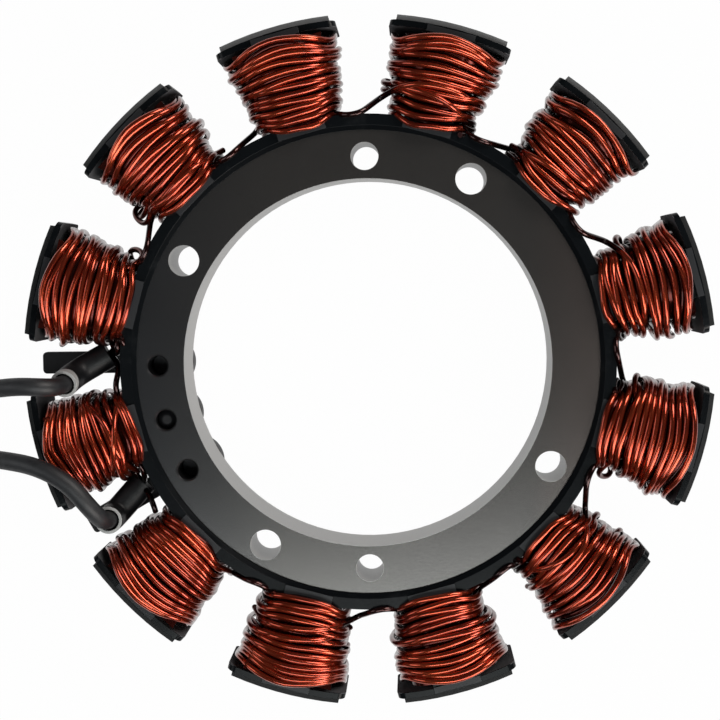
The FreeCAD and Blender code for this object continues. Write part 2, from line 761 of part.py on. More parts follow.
def make_tie(order, centre):
    """Band round the coil's section on the side towards the stator."""
    wall = float(S["lead_diameter"]) / 2 + float(S["coil_clearance"])
    band = float(S["tie_thickness"])
    width = float(S["tie_width"])
    upper, lower = coil_levels()
    fit = float(S["tie_fit"])
    inside_wide = 2 * (wall + fit)
    inside_high = upper - lower + inside_wide
    bottom = lower - wall - fit
    across = float(S["coil_turn_radius"]) - inside_wide / 2
    outer = Part.makeBox(inside_wide + 2 * band, width, inside_high + 2 * band,
                         Vector(centre.x + across - band, centre.y - width / 2, bottom - band))
    hollow = Vector(centre.x + across, centre.y - width / 2, bottom)
    inner = Part.makeBox(inside_wide, width, inside_high, hollow)
    return stand_in(f"lead_tie_{order + 1}", outer.cut(inner))


def make_terminal(order, centre):
    """Ring terminal on the lead's end."""
    lower = coil_levels()[1]
    along = Vector(-1, 0, 0)
    barrel_radius = float(S["terminal_barrel_radius"])
    length = float(S["terminal_barrel_length"])
    start = Vector(centre.x - float(S["coil_stub"]), LEAD_LANDINGS[order][1], lower)
    barrel = Part.makeCylinder(barrel_radius, length, start, along)
    thickness = float(S["terminal_tongue_thickness"])
    half_width = float(S["terminal_tongue_width"]) / 2
    reach = float(S["terminal_tongue_reach"])
    floor = lower - barrel_radius
    eye = start + along * (length + reach) + Vector(0, 0, -barrel_radius)
    tongue = Part.makeCylinder(half_width, thickness, eye)
    neck = Part.makeBox(length / 2 + reach, half_width, thickness,
                        Vector(eye.x, start.y - half_width / 2, floor))
    solid = barrel.fuse(tongue).fuse(neck)
    solid = solid.cut(Part.makeCylinder(float(S["terminal_hole_radius"]), thickness, eye)).removeSplitter()
    stand_in(f"lead_terminal_{order + 1}", solid.Solids[0])


def check_document():
    """Stop if any object failed or any sub-part has no sound solid."""
    doc.recompute()
    for item in doc.Objects:
        if "Invalid" in item.State or "Error" in item.State:
            raise RuntimeError(f"{item.Name} failed: {item.State}")
    pieces = [item for item in doc.Objects if item.TypeId in ("PartDesign::Body", "Part::Feature")]
    for piece in pieces:
        if piece.Shape.isNull() or not piece.Shape.isValid() or len(piece.Shape.Solids) != 1:
            raise RuntimeError(f"{piece.Label} has no sound solid")
    return pieces


make_core()
make_insulator("front_insulator", True)
make_insulator("rear_insulator", False)
for pole in range(int(float(S["pole_count"]))):
    make_winding(pole)
for crossover, (slot_angle, outer_share, half_spread) in enumerate(CROSSOVERS):
    make_crossover(crossover, slot_angle, slot_radius(outer_share), half_spread)
make_bracket()
for screw, screw_side in enumerate((-1, 1), start=1):
    make_bracket_screw(screw, screw_side)
for lead in range(len(LEAD_ROUTES)):
    make_sleeve(lead + 1, sleeve_route(lead))
    make_tail(lead, sleeve_route(lead))
    lead_tube = tube_along(lead_route(lead), float(S["lead_diameter"]) / 2, f"lead_{lead + 1}")
    stand_in(f"lead_{lead + 1}", lead_tube)
    coil, coil_centre = make_lead_coil(lead)
    make_tie(lead, coil_centre)
    make_terminal(lead, coil_centre)

for piece in check_document():
    piece.Shape.exportStep(f"parts/{piece.Label}.step")
    print(piece.Label, round(piece.Shape.Volume / 1000, 3), "cm3")
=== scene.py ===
"""Wound stator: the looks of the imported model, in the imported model's own metres.

The bore axis is Z, the rear steel face is at zero and the front face looks up.  The stator lies on
its rear windings on a plain white floor, and the camera looks almost straight down on it.  Sizes are
in millimetres unless a name or a docstring says metres.
"""

import json
import logging
import math
import random
from dataclasses import dataclass, field
from enum import Enum

import bmesh
import bpy
from mathutils import Matrix, Vector

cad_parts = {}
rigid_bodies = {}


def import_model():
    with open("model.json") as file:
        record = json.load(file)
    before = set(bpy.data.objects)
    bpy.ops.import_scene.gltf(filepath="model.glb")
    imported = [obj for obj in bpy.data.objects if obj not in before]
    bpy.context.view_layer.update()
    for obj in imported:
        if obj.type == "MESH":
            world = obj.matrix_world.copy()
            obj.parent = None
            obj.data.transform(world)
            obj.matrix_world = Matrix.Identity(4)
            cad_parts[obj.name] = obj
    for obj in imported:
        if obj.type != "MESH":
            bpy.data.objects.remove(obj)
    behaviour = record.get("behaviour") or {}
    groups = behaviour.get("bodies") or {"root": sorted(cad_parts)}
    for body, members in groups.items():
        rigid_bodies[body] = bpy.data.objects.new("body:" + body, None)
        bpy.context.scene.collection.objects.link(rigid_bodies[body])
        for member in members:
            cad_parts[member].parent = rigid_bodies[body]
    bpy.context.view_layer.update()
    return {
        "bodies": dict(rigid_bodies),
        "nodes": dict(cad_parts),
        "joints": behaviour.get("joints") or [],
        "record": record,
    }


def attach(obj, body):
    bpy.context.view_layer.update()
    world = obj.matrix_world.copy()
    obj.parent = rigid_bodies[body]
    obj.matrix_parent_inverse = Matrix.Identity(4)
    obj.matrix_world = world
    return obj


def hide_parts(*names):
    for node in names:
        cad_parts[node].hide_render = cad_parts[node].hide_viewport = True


LOG = logging.getLogger("stator")
MM = 0.001
POLE_COUNT = 12
FIRST_POLE = 15.0
POLE_STEP = 30.0
STACK = 18.0
MIDDLE = STACK / 2
FLOOR_LEVEL = -8.352
WIRE_RADIUS = 0.825
MERGE_WITHIN_METRES = 1e-6
FLAT_WITHIN_DEGREES = 0.5
BEVEL_ABOVE_DEGREES = 35.0
BEVEL_SEGMENTS = 2
CREASE_DEGREES = 30.0

Point = tuple[float, float, float]
Colour = tuple[float, float, float]
Range = tuple[float, float]
Route = tuple[Point, ...]


def metres(points: list[Point]) -> list[Vector]:
    """Millimetre points as vectors in metres."""
    return [Vector(point) * MM for point in points]


def polar(radius: float, angle: float, height: float = 0.0) -> Point:
    """The millimetre point at a radius and an angle about the bore axis."""
    turn = math.radians(angle)
    return (radius * math.cos(turn), radius * math.sin(turn), height)


def between(ends: Range, share: float) -> float:
    """The number at a share of the way from the first of two to the second."""
    return ends[0] + (ends[1] - ends[0]) * share


def clamped(share: float) -> float:
    """A share held between 0 and 1."""
    return min(1.0, max(0.0, share))


# Shader building


class Value:
    """A shader output that takes part in arithmetic, adding Math nodes as it goes."""

    def __init__(self, tree: bpy.types.NodeTree, link: bpy.types.NodeSocket) -> None:
        """Wrap one output socket of a node tree."""
        self.tree = tree
        self.link = link

    def _math(self, operation: str, first: "Value", second: "Value | float" = 0.0) -> "Value":
        """One Math node.

        Args:
            operation: the node's operation.
            first: a Value or a number.
            second: a Value or a number.

        Returns:
            The node's result.
        """
        node = self.tree.nodes.new("ShaderNodeMath")
        node.operation = operation
        for socket, item in zip(node.inputs, (first, second)):
            if isinstance(item, Value):
                self.tree.links.new(item.link, socket)
            else:
                socket.default_value = float(item)
        return Value(self.tree, node.outputs[0])

    def __add__(self, other: "Value | float") -> "Value":
        """Sum."""
        return self._math("ADD", self, other)

    def __sub__(self, other: "Value | float") -> "Value":
        """Difference."""
        return self._math("SUBTRACT", self, other)

    def __mul__(self, other: "Value | float") -> "Value":
        """Product."""
        return self._math("MULTIPLY", self, other)

    def __lt__(self, other: "Value | float") -> "Value":
        """One where this is less than the other."""
        return self._math("LESS_THAN", self, other)

    def __gt__(self, other: "Value | float") -> "Value":
        """One where this is more than the other."""
        return self._math("GREATER_THAN", self, other)

    def root(self) -> "Value":
        """Square root."""
        return self._math("SQRT", self)

    def within(self, low: float, high: float) -> "Value":
        """Where this value lies between two numbers.

        Args:
            low: the number that gives 0, and so does all below it.
            high: the number that gives 1, and so does all above it.

        Returns:
            The share of the way.
        """
        node = self.tree.nodes.new("ShaderNodeMapRange")
        node.clamp = True
        self.tree.links.new(self.link, node.inputs["Value"])
        node.inputs["From Min"].default_value = low
        node.inputs["From Max"].default_value = high
        return Value(self.tree, node.outputs["Result"])

    def span(self, ends: Range) -> "Value":
        """The same for a length in metres between two in millimetres."""
        return self.within(ends[0] * MM, ends[1] * MM)


class Shader:
    """A material under construction round one Principled shader."""

    def __init__(self, name: str) -> None:
        """Make a material that has only its shader and its output.

        Args:
            name: the material's name.
        """
        self.material = bpy.data.materials.new(name)
        self.material.use_nodes = True
        self.tree = self.material.node_tree
        self.tree.nodes.clear()
        self.output = self.tree.nodes.new("ShaderNodeOutputMaterial")
        self.surface = self.tree.nodes.new("ShaderNodeBsdfPrincipled")
        self.tree.links.new(self.surface.outputs[0], self.output.inputs["Surface"])
        self._place: Value | None = None

    def node(self, kind: str, settings: dict | None = None, inputs: dict | None = None,
             output: int | str = 0) -> Value:
        """Add one node.

        Args:
            kind: the node's type.
            settings: attributes that are set before the sockets.
            inputs: values or links by socket name or number.
            output: the output that is wanted.

        Returns:
            That output.
        """
        node = self.tree.nodes.new(kind)
        for key, item in (settings or {}).items():
            setattr(node, key, item)
        for key, item in (inputs or {}).items():
            if isinstance(item, Value):
                self.tree.links.new(item.link, node.inputs[key])
            else:
                node.inputs[key].default_value = item
        return Value(self.tree, node.outputs[output])

    def place(self) -> Value:
        """The point in the part's own metres, from one node that all share."""
        if self._place is None:
            self._place = self.node("ShaderNodeTexCoord", output="Object")
        return self._place

    def axis(self, name: str) -> Value:
        """One coordinate of the point."""
        return self.node("ShaderNodeSeparateXYZ", None, {0: self.place()}, name)

    def distance(self, x: float = 0.0, y: float = 0.0) -> Value:
        """Distance in metres from an axis along Z.

        Args:
            x: where the axis stands, in millimetres.
            y: the same along Y.

        Returns:
            The distance, from the bore axis if no place is given.
        """
        across = self.axis("X") - x * MM
        along = self.axis("Y") - y * MM
        return (across * across + along * along).root()

    def noise(self, scale: float, detail: float, roughness: float = 0.55) -> Value:
        """Noise between 0 and 1.

        Args:
            scale: how fine it is, per metre.
            detail: its octaves.
            roughness: how strong the finer octaves are.

        Returns:
            The noise.
        """
        return self.node("ShaderNodeTexNoise", None, {"Vector": self.place(), "Scale": scale,
                                                      "Detail": detail, "Roughness": roughness})

    def bands(self, scale: float, distortion: float = 0.0, detail: float = 2.0) -> Value:
        """Even bands across the Z axis, from 0 to 1.

        Args:
            scale: how fine they are.
            distortion: how far noise bends them.
            detail: that noise's octaves.

        Returns:
            The bands.
        """
        return self.node("ShaderNodeTexWave", {"bands_direction": "Z", "wave_profile": "SIN"},
                         {"Vector": self.place(), "Scale": scale, "Distortion": distortion,
                          "Detail": detail})

    def blend(self, share: Value, low: Colour | Value, high: Colour | Value) -> Value:
        """A colour between two.

        Args:
            share: from 0 to 1.
            low: the colour at 0.
            high: the colour at 1.

        Returns:
            The mixed colour.
        """
        node = self.tree.nodes.new("ShaderNodeMix")
        node.data_type = "RGBA"
        self.tree.links.new(share.link, node.inputs[0])
        for socket, item in ((node.inputs[6], low), (node.inputs[7], high)):
            if isinstance(item, Value):
                self.tree.links.new(item.link, socket)
            else:
                socket.default_value = (*item, 1.0)
        return Value(self.tree, node.outputs[2])

    def bump(self, height: Value, distance: float, strength: float) -> None:
        """Let a height bend the shader's normal."""
        self.feed("Normal", self.node("ShaderNodeBump", None,
                                      {"Height": height, "Distance": distance, "Strength": strength}))

    def feed(self, socket: str, item: Value | float) -> None:
        """Link or set one socket of the shader.

        Args:
            socket: the socket's name.
            item: what goes in: a Value is linked, a number is set.
        """
        target = self.surface.inputs[socket]
        if isinstance(item, Value):
            self.tree.links.new(item.link, target)
        else:
            target.default_value = item


# Finishes


@dataclass(frozen=True)
class Finish:
    """What a surface looks like, as a recipe for one material."""

    name: str

    def material(self) -> bpy.types.Material:
        """Make the material."""
        shader = Shader(self.name)
        self.dress(shader)
        return shader.material

    def dress(self, shader: Shader) -> None:
        """Feed the shader; each finish has its own way."""
        raise NotImplementedError


@dataclass(frozen=True)
class Enamel(Finish):
    """Copper wire under red enamel with a glossy top, darkened round the mid-plane by painted shade.

    The enamel is bright where it is thin and dark where it is thick.  The gloss is how much of the
    surface the clear top covers.  Painted shade fades out over a range of distances from the mid-plane.
    """

    bright: Colour
    dark: Colour
    gloss: float
    painted_shade_fade: Range = (6.0, 13.5)
    painted_shade_share: float = 0.3

    def dress(self, shader: Shader) -> None:
        """Feed the wire's colour and gloss.

        Args:
            shader: the material's shader.
        """
        drift = shader.noise(scale=90.0, detail=2.0)
        colour = shader.blend(drift.within(0.35, 0.65), self.dark, self.bright)
        # Painted shade: near the mid-plane the colour falls to a share of the dark colour.
        depth = shader.axis("Z") - MIDDLE * MM
        unshaded_share = (depth * depth).root().span(self.painted_shade_fade)
        painted_shade_colour = tuple(part * self.painted_shade_share for part in self.dark)
        shader.feed("Base Color", shader.blend(unshaded_share, painted_shade_colour, colour))
        shader.feed("Metallic", 0.9)
        shader.feed("Roughness", shader.noise(scale=420.0, detail=2.0) * 0.06 + 0.18)
        shader.feed("Coat Weight", self.gloss)
        shader.feed("Coat Roughness", 0.06)
        shader.feed("Coat IOR", 1.45)
        shader.bump(shader.noise(scale=180.0, detail=1.0), 0.00006, 0.25)


@dataclass(frozen=True)
class Nylon(Finish):
    """Black moulded nylon with a fine grain and faint scuffs.

    The facets raised above the steel are paler as painted light, and so are the flanges' inner walls,
    which are also dull: they lie below a level and between two ranges of radius.
    """

    base: Colour = (0.0035, 0.0045, 0.0055)
    scuffed: Colour = (0.012, 0.0135, 0.015)
    raised_painted_light: Colour = (0.030, 0.032, 0.035)
    raised_above: float = STACK + 2.0
    wall_painted_light: Colour = (0.085, 0.088, 0.094)
    wall_below: float = 19.6
    wall_start: Range = (80.0, 83.0)
    wall_end: Range = (92.35, 92.4)

    def dress(self, shader: Shader) -> None:
        """Feed the nylon's colour, gloss and grain.

        Args:
            shader: the material's shader.
        """
        scuff = shader.noise(scale=55.0, detail=6.0, roughness=0.7).within(0.56, 0.74)
        colour = shader.blend(scuff, self.base, self.scuffed)
        # Painted light: the facets above a level are paler.
        colour = shader.blend(shader.axis("Z") > self.raised_above * MM, colour, self.raised_painted_light)
        # Painted light: the flanges' inner walls below a level are paler.
        radius = shader.distance()
        below = shader.axis("Z") < self.wall_below * MM
        wall_painted_light = (radius.span(self.wall_start) - radius.span(self.wall_end)) * below
        shader.feed("Base Color", shader.blend(wall_painted_light, colour, self.wall_painted_light))
        shader.feed("Roughness", shader.noise(scale=150.0, detail=3.0) * 0.12 + 0.17 + wall_painted_light * 0.5)
        shader.feed("Specular IOR Level", 0.11)
        shader.bump(shader.noise(scale=2600.0, detail=2.0), 0.00002, 0.5)


@dataclass(frozen=True)
class Steel(Finish):
    """Blackened rolled steel, ground bright in the bore and the holes.

    The face is darker towards the leads as painted shade, and browner on the far side as a painted
    reflection.  The pole shoes show the edges of their sheets, paler towards +Y as painted light.
    """

    bore_radius: float = 50.85
    holes: tuple[tuple[float, float, tuple[float, ...]], ...] = (
        (58.0, 4.3, (60.0, 150.0, 240.0, 330.0)),
        (56.9, 3.85, (90.0, 270.0)),
    )
    clouds: tuple[Colour, Colour] = ((0.126, 0.120, 0.116), (0.152, 0.145, 0.140))
    speckle: Colour = (0.122, 0.117, 0.114)
    near_leads_painted_shade: Colour = (0.082, 0.085, 0.091)
    near_leads_shade_range: Range = (-62.0, -24.0)
    far_side_painted_reflection: Colour = (0.185, 0.150, 0.140)
    far_side_reflection_range: Range = (44.0, 60.0)
    ground: tuple[Colour, Colour] = ((0.34, 0.34, 0.335), (0.39, 0.39, 0.385))
    shoe_range: Range = (93.4, 93.7)
    shoe_painted_light_range: Range = (48.0, 93.0)
    sheet: tuple[Colour, Colour] = ((0.018, 0.019, 0.020), (0.150, 0.155, 0.160))
    gap: tuple[Colour, Colour] = ((0.008, 0.0085, 0.009), (0.085, 0.088, 0.092))

    def dress(self, shader: Shader) -> None:
        """Feed the steel's colour, metal and gloss.

        Args:
            shader: the material's shader.
        """
        walls = shader.distance() < self.bore_radius * MM
        for circle, radius, angles in self.holes:
            for angle in angles:
                x, y, _ = polar(circle, angle)
                walls = walls + (shader.distance(x, y) < radius * MM)
        walls = walls.within(0.0, 1.0)
        grain = shader.noise(scale=1400.0, detail=4.0)
        cloud = shader.noise(scale=28.0, detail=4.0)
        face = shader.blend(cloud.within(0.3, 0.7), *self.clouds)
        face = shader.blend(grain.within(0.35, 0.7) * 0.5, self.speckle, face)
        # Painted shade: the face darkens towards the leads.
        face = shader.blend(shader.axis("X").span(self.near_leads_shade_range), self.near_leads_painted_shade, face)
        # Painted reflection: the face turns paler and browner on the far side.
        face = shader.blend(shader.axis("X").span(self.far_side_reflection_range) * 0.6, face, self.far_side_painted_reflection)
        sheets = shader.bands(scale=640.0, distortion=0.4, detail=1.0)
        colour = shader.blend(walls, face, shader.blend(sheets.within(0.1, 0.9), *self.ground))
        shoe = shader.distance().span(self.shoe_range)
        # Painted light: each pair of shoe colours runs from shaded to lit towards +Y.
        lit = shader.axis("Y").span(self.shoe_painted_light_range)
        edges = shader.blend(sheets.within(0.2, 0.8), shader.blend(lit, *self.gap),
                             shader.blend(lit, *self.sheet))
        shader.feed("Base Color", shader.blend(shoe, colour, edges))
        shader.feed("Metallic", walls * -0.26 + 0.88 - shoe * 0.88)
        shader.feed("Specular IOR Level", 0.15)
        shader.feed("Roughness", grain * 0.05 + cloud * 0.05 + 0.17 + walls * 0.15 + shoe * 0.3)
        shader.bump(grain, 0.00002, 0.35)


@dataclass(frozen=True)
class Mottled(Finish):
    """A surface mottled between two colours, with a grain in its relief.

    A noise is its scale and octaves, and for the mottle their roughness too.  The contrast is the
    range of the mottle from dark to light.  The gloss is the roughness and how much the mottle adds
    to it, or the sheen where that is a noise of its own.  The relief is the bump's distance and
    strength.  A cut end is the colour above a level.
    """

    dark: Colour
    light: Colour
    mottle: tuple[float, ...]
    gloss: Range
    grain: Range
    relief: Range
    contrast: Range = (0.0, 1.0)
    sheen: Range | None = None
    metallic: float = 0.0
    specular: float = 0.5
    cut_end: tuple[Colour, float] | None = None

    def dress(self, shader: Shader) -> None:
        """Feed the surface's colour, gloss and grain.

        Args:
            shader: the material's shader.
        """
        mottle = shader.noise(*self.mottle)
        colour = shader.blend(mottle.within(*self.contrast), self.dark, self.light)
        if self.cut_end:
            pale, level = self.cut_end
            colour = shader.blend(shader.axis("Z") > level * MM, colour, pale)
        sheen = shader.noise(*self.sheen) if self.sheen else mottle
        shader.feed("Base Color", colour)
        shader.feed("Metallic", self.metallic)
        shader.feed("Roughness", sheen * self.gloss[1] + self.gloss[0])
        shader.feed("Specular IOR Level", self.specular)
        shader.bump(shader.noise(*self.grain), *self.relief)


@dataclass(frozen=True)
class TieNylon(Finish):
    """Black nylon band with fine ribs."""

    dark: Colour = (0.012, 0.012, 0.013)
    light: Colour = (0.022, 0.022, 0.024)

    def dress(self, shader: Shader) -> None:
        """Feed the band's colour and ribs.

        Args:
            shader: the material's shader.
        """
        ribs = shader.bands(scale=220.0)
        shader.feed("Base Color", shader.blend(ribs, self.dark, self.light))
        shader.feed("Roughness", ribs * 0.1 + 0.38)
        shader.bump(ribs, 0.0001, 0.5)


@dataclass(frozen=True)
class Sweep(Finish):
    """Floor that the camera sees as white and reflections as pale, and that throws back less light."""

    dark: Colour = (0.40, 0.40, 0.40)
    light: Colour = (0.42, 0.42, 0.42)
    camera_share: float = 0.985
    reflection_share: float = 0.7

    def dress(self, shader: Shader) -> None:
        """Feed the floor's colour and mix in its white for the camera and for reflections.

        Args:
            shader: the material's shader.
        """
        cloud = shader.noise(scale=40.0, detail=2.0)
        shader.feed("Base Color", shader.blend(cloud, self.dark, self.light))
        shader.feed("Roughness", 0.9)
        tree = shader.tree
        rays = tree.nodes.new("ShaderNodeLightPath")
        seen = Value(tree, rays.outputs["Is Camera Ray"])
        mirrored = Value(tree, rays.outputs["Is Glossy Ray"])
        white = tree.nodes.new("ShaderNodeEmission")
        white.inputs["Color"].default_value = (1.0, 1.0, 1.0, 1.0)
        white.inputs["Strength"].default_value = 1.0
        mix = tree.nodes.new("ShaderNodeMixShader")
        share = seen * self.camera_share + mirrored * self.reflection_share
        tree.links.new(share.link, mix.inputs[0])
        tree.links.new(shader.surface.outputs[0], mix.inputs[1])
        tree.links.new(white.outputs[0], mix.inputs[2])
        tree.links.new(mix.outputs[0], shader.output.inputs["Surface"])


class Palette:
    """The material of every finish, each made once."""

    def __init__(self) -> None:
        """Make the materials."""
        self.wire = Enamel("enamelled_wire", (0.45, 0.061, 0.021), (0.26, 0.029, 0.012), 0.55).material()
        # Painted shade: a darker copy of the wire for the inner layer and the block inside it.
        self.shaded_inner_wire = Enamel("enamelled_wire_inside_painted_shade", (0.11, 0.012, 0.006), (0.03, 0.005, 0.004),
                                0.25).material()
        # Painted shade: a darker copy of the wire for the tangles, the crossovers between coils and the
        # ends.
        self.shaded_wire = Enamel("enamelled_wire_painted_shade", (0.05, 0.010, 0.008), (0.02, 0.005, 0.005),
                                0.6).material()
        self.nylon = Nylon("black_nylon").material()
        self.steel = Steel("lamination_steel").material()
        self.rubber = Mottled("lead_rubber", (0.010, 0.011, 0.013), (0.026, 0.028, 0.031),
                              mottle=(140.0, 5.0, 0.7), contrast=(0.45, 0.75), sheen=(60.0, 3.0),
                              gloss=(0.40, 0.2), grain=(700.0, 3.0), relief=(0.00005, 0.5)).material()
        self.sleeve = Mottled("shrink_sleeve", (0.003, 0.0033, 0.004), (0.010, 0.0105, 0.012),
                              mottle=(180.0, 3.0), contrast=(0.3, 0.8), gloss=(0.36, 0.2),
                              grain=(180.0, 3.0), relief=(0.0004, 0.5), specular=0.28,
                              cut_end=((0.33, 0.34, 0.34), 20.8)).material()
        self.bracket = Mottled("bracket_plastic", (0.006, 0.006, 0.007), (0.014, 0.014, 0.016),
                               mottle=(70.0, 4.0), gloss=(0.4, 0.2), grain=(1500.0, 2.0),
                               relief=(0.00003, 0.5), specular=0.3).material()
        self.screw = Mottled("black_oxide_steel", (0.0225, 0.0225, 0.024), (0.03, 0.03, 0.032),
                             mottle=(220.0, 4.0), gloss=(0.32, 0.2), grain=(1200.0, 2.0),
                             relief=(0.00002, 0.4), metallic=0.9).material()
        self.tinned = Mottled("tinned_copper", (0.465, 0.4575, 0.435), (0.62, 0.61, 0.58),
                              mottle=(220.0, 4.0), gloss=(0.2, 0.2), grain=(1200.0, 2.0),
                              relief=(0.00002, 0.4), metallic=0.9).material()
        self.tie = TieNylon("tie_nylon").material()
        self.floor = Sweep("white_sweep").material()


# Camera, floor and light


@dataclass(frozen=True)
class SoftBox:
    """One area lamp: place, aim and size in metres, then power and colour."""

    name: str
    place: Point
    aim: Point
    width: float
    height: float
    watts: float
    colour: Colour


@dataclass
class Studio:
    """The camera at the photograph's place, the white sweep and the soft boxes, in metres."""

    eye: Point = (0.0129, 0.02673, 0.44157)
    right: Point = (0.9993, -0.0138, -0.0343)
    up: Point = (0.0117, 0.9981, -0.0610)
    lens_mm: float = 77.0
    sensor_mm: float = 36.0
    clip: Range = (0.01, 50.0)
    sweep_half_width: float = 8.0
    ambient: float = 0.05
    boxes: tuple[SoftBox, ...] = (
        SoftBox("box_northeast", (0.62, 0.64, 0.62), (0.02, 0.02, 0.0), 0.6, 0.46, 7.6,
                (1.0, 0.94, 0.89)),
        SoftBox("box_southeast", (0.60, -0.64, 0.62), (0.02, -0.02, 0.0), 0.6, 0.46, 7.2,
                (1.0, 0.94, 0.89)),
        SoftBox("box_overhead", (0.03, -0.47, 0.92), (0.0, -0.1, 0.0), 0.62, 0.44, 3.7,
                (0.94, 1.0, 0.985)),
        SoftBox("box_west", (-0.74, 0.05, 0.54), (-0.1, 0.0, 0.0), 0.5, 0.5, 1.4, (0.97, 0.98, 1.0)),
    )

    def camera(self) -> None:
        """Put the camera where the photograph was taken."""
        data = bpy.data.cameras.new("camera")
        data.sensor_width = self.sensor_mm
        data.lens = self.lens_mm
        data.clip_start, data.clip_end = self.clip
        eye = link_object("camera", data)
        right = Vector(self.right).normalized()
        up = Vector(self.up)
        up = (up - right * up.dot(right)).normalized()
        turn = Matrix((right, up, right.cross(up))).transposed()
        eye.matrix_world = Matrix.Translation(self.eye) @ turn.to_4x4()
        bpy.context.scene.camera = eye

    def floor(self, material: bpy.types.Material) -> None:
        """Lay the white sweep under the stator.

        Args:
            material: the sweep's finish.
        """
        form = bmesh.new()
        bmesh.ops.create_grid(form, x_segments=1, y_segments=1, size=self.sweep_half_width)
        bmesh.ops.translate(form, verts=form.verts, vec=(0.0, 0.0, FLOOR_LEVEL * MM))
        new_piece("floor", form, material)

    def lamps(self) -> None:
        """Hang the soft boxes."""
        for box in self.boxes:
            data = bpy.data.lights.new(box.name, "AREA")
            data.shape = "RECTANGLE"
            data.size = box.width
            data.size_y = box.height
            data.energy = box.watts
            data.color = box.colour
            lamp = link_object(box.name, data)
            away = Vector(box.place) - Vector(box.aim)
            turn = away.to_track_quat("Z", "Y").to_matrix().to_4x4()
            lamp.matrix_world = Matrix.Translation(box.place) @ turn

    def surroundings(self) -> None:
        """Set the even surrounding light, which the camera sees as white."""
        world = bpy.data.worlds.new("surroundings")
        world.use_nodes = True
        back = world.node_tree.nodes["Background"]
        back.inputs["Color"].default_value = (1.0, 1.0, 1.0, 1.0)
        rays = world.node_tree.nodes.new("ShaderNodeLightPath")
        seen = Value(world.node_tree, rays.outputs["Is Camera Ray"])
        strength = seen * (1.0 - self.ambient) + self.ambient
        world.node_tree.links.new(strength.link, back.inputs["Strength"])
        bpy.context.scene.world = world
        bpy.context.scene.view_settings.view_transform = "Standard"

    def build(self, palette: Palette) -> None:
        """Set up everything that isn't the part.

        Args:
            palette: the materials.
        """
        self.camera()
        self.floor(palette.floor)
        self.lamps()
        self.surroundings()


# Pieces


def link_object(name: str, data: bpy.types.ID) -> bpy.types.Object:
    """Put an object at the origin.

    Args:
        name: the object's name.
        data: the mesh, curve, camera or light that it shows.

    Returns:
        The new object.
    """
    piece = bpy.data.objects.new(name, data)
    bpy.context.scene.collection.objects.link(piece)
    return piece


def new_piece(name: str, form: bmesh.types.BMesh, *materials: bpy.types.Material) -> bpy.types.Object:
    """Turn a bmesh into an object at the origin.

    Args:
        name: the piece's name.
        form: the shape, freed here.
        *materials: its finishes, in the order of the faces' material numbers.

    Returns:
        The new object.
    """
    mesh = bpy.data.meshes.new(name)
    form.to_mesh(mesh)
    form.free()
    for material in materials:
        mesh.materials.append(material)
    return link_object(name, mesh)


def smooth(piece: bpy.types.Object, angle: float) -> None:
    """Shade a mesh smooth except over edges sharper than an angle in degrees."""
    piece.data.shade_smooth()
    piece.data.set_sharp_from_angle(angle=math.radians(angle))


def settle(piece: bpy.types.Object, slot: str, *nodes: str) -> None:
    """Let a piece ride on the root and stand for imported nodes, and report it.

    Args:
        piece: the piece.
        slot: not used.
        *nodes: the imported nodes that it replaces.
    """
    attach(piece, "root")
    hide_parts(*nodes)
    LOG.info("%s for %s", piece.name, ", ".join(nodes))


def softened_copy(node: str, name: str, material: bpy.types.Material, slot: str,
                  width: float) -> bpy.types.Object:
    """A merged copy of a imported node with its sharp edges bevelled, which then stands for the node.

    Args:
        node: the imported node.
        name: the new piece's name.
        material: its finish.
        slot: its material slot.
        width: the bevel's width in millimetres.

    Returns:
        The new piece, riding on the root.
    """
    form = bmesh.new()
    form.from_mesh(bpy.data.objects[node].data)
    bmesh.ops.remove_doubles(form, verts=form.verts, dist=MERGE_WITHIN_METRES)
    bmesh.ops.dissolve_limit(form, angle_limit=math.radians(FLAT_WITHIN_DEGREES), verts=form.verts,
                             edges=form.edges)
    piece = new_piece(name, form, material)
    bevel = piece.modifiers.new("soft_edges", "BEVEL")
    bevel.width = width * MM
    bevel.segments = BEVEL_SEGMENTS
    bevel.limit_method = "ANGLE"
    bevel.angle_limit = math.radians(BEVEL_ABOVE_DEGREES)
    bevel.harden_normals = True
    smooth(piece, CREASE_DEGREES)
    settle(piece, slot, node)
    return piece


def round_curve(name: str, runs: list[list[Vector]], radius: float, resolution: int, sides: int,
                order: int) -> bpy.types.Curve:
    """Round wires along smooth lines through control points.

    Args:
        name: the curve's name.
        runs: each wire's control points, in metres.
        radius: the wire's radius in millimetres.
        resolution: steps between control points.
        sides: the bevel's resolution.
        order: how many control points bend the line at a place.

    Returns:
        The curve with its bevel.
    """
    curve = bpy.data.curves.new(name, "CURVE")
    curve.dimensions = "3D"
    curve.resolution_u = resolution
    curve.bevel_depth = radius * MM
    curve.bevel_resolution = sides
    curve.use_fill_caps = True
    for run in runs:
        spline = curve.splines.new("NURBS")
        spline.points.add(len(run) - 1)
        for point, place in zip(spline.points, run):
            point.co = (*place, 1.0)
        spline.order_u = order
        spline.use_endpoint_u = True
    return curve


def wire_piece(name: str, runs: list[list[Vector]], material: bpy.types.Material, resolution: int = 3,
               sides: int = 3) -> bpy.types.Object:
    """Winding wires as one mesh.

    Args:
        name: the piece's name.
        runs: each wire's control points, in metres.
        material: the finish.
        resolution: steps between control points.
        sides: the bevel's resolution.

    Returns:
        A mesh object of all the wires.
    """
    holder = bpy.data.objects.new(name, round_curve(name, runs, WIRE_RADIUS, resolution, sides, 4))
    mesh = bpy.data.meshes.new_from_object(holder)
    bpy.data.objects.remove(holder)
    mesh.name = name
    mesh.materials.clear()
    mesh.materials.append(material)
    mesh.shade_smooth()
    return link_object(name, mesh)


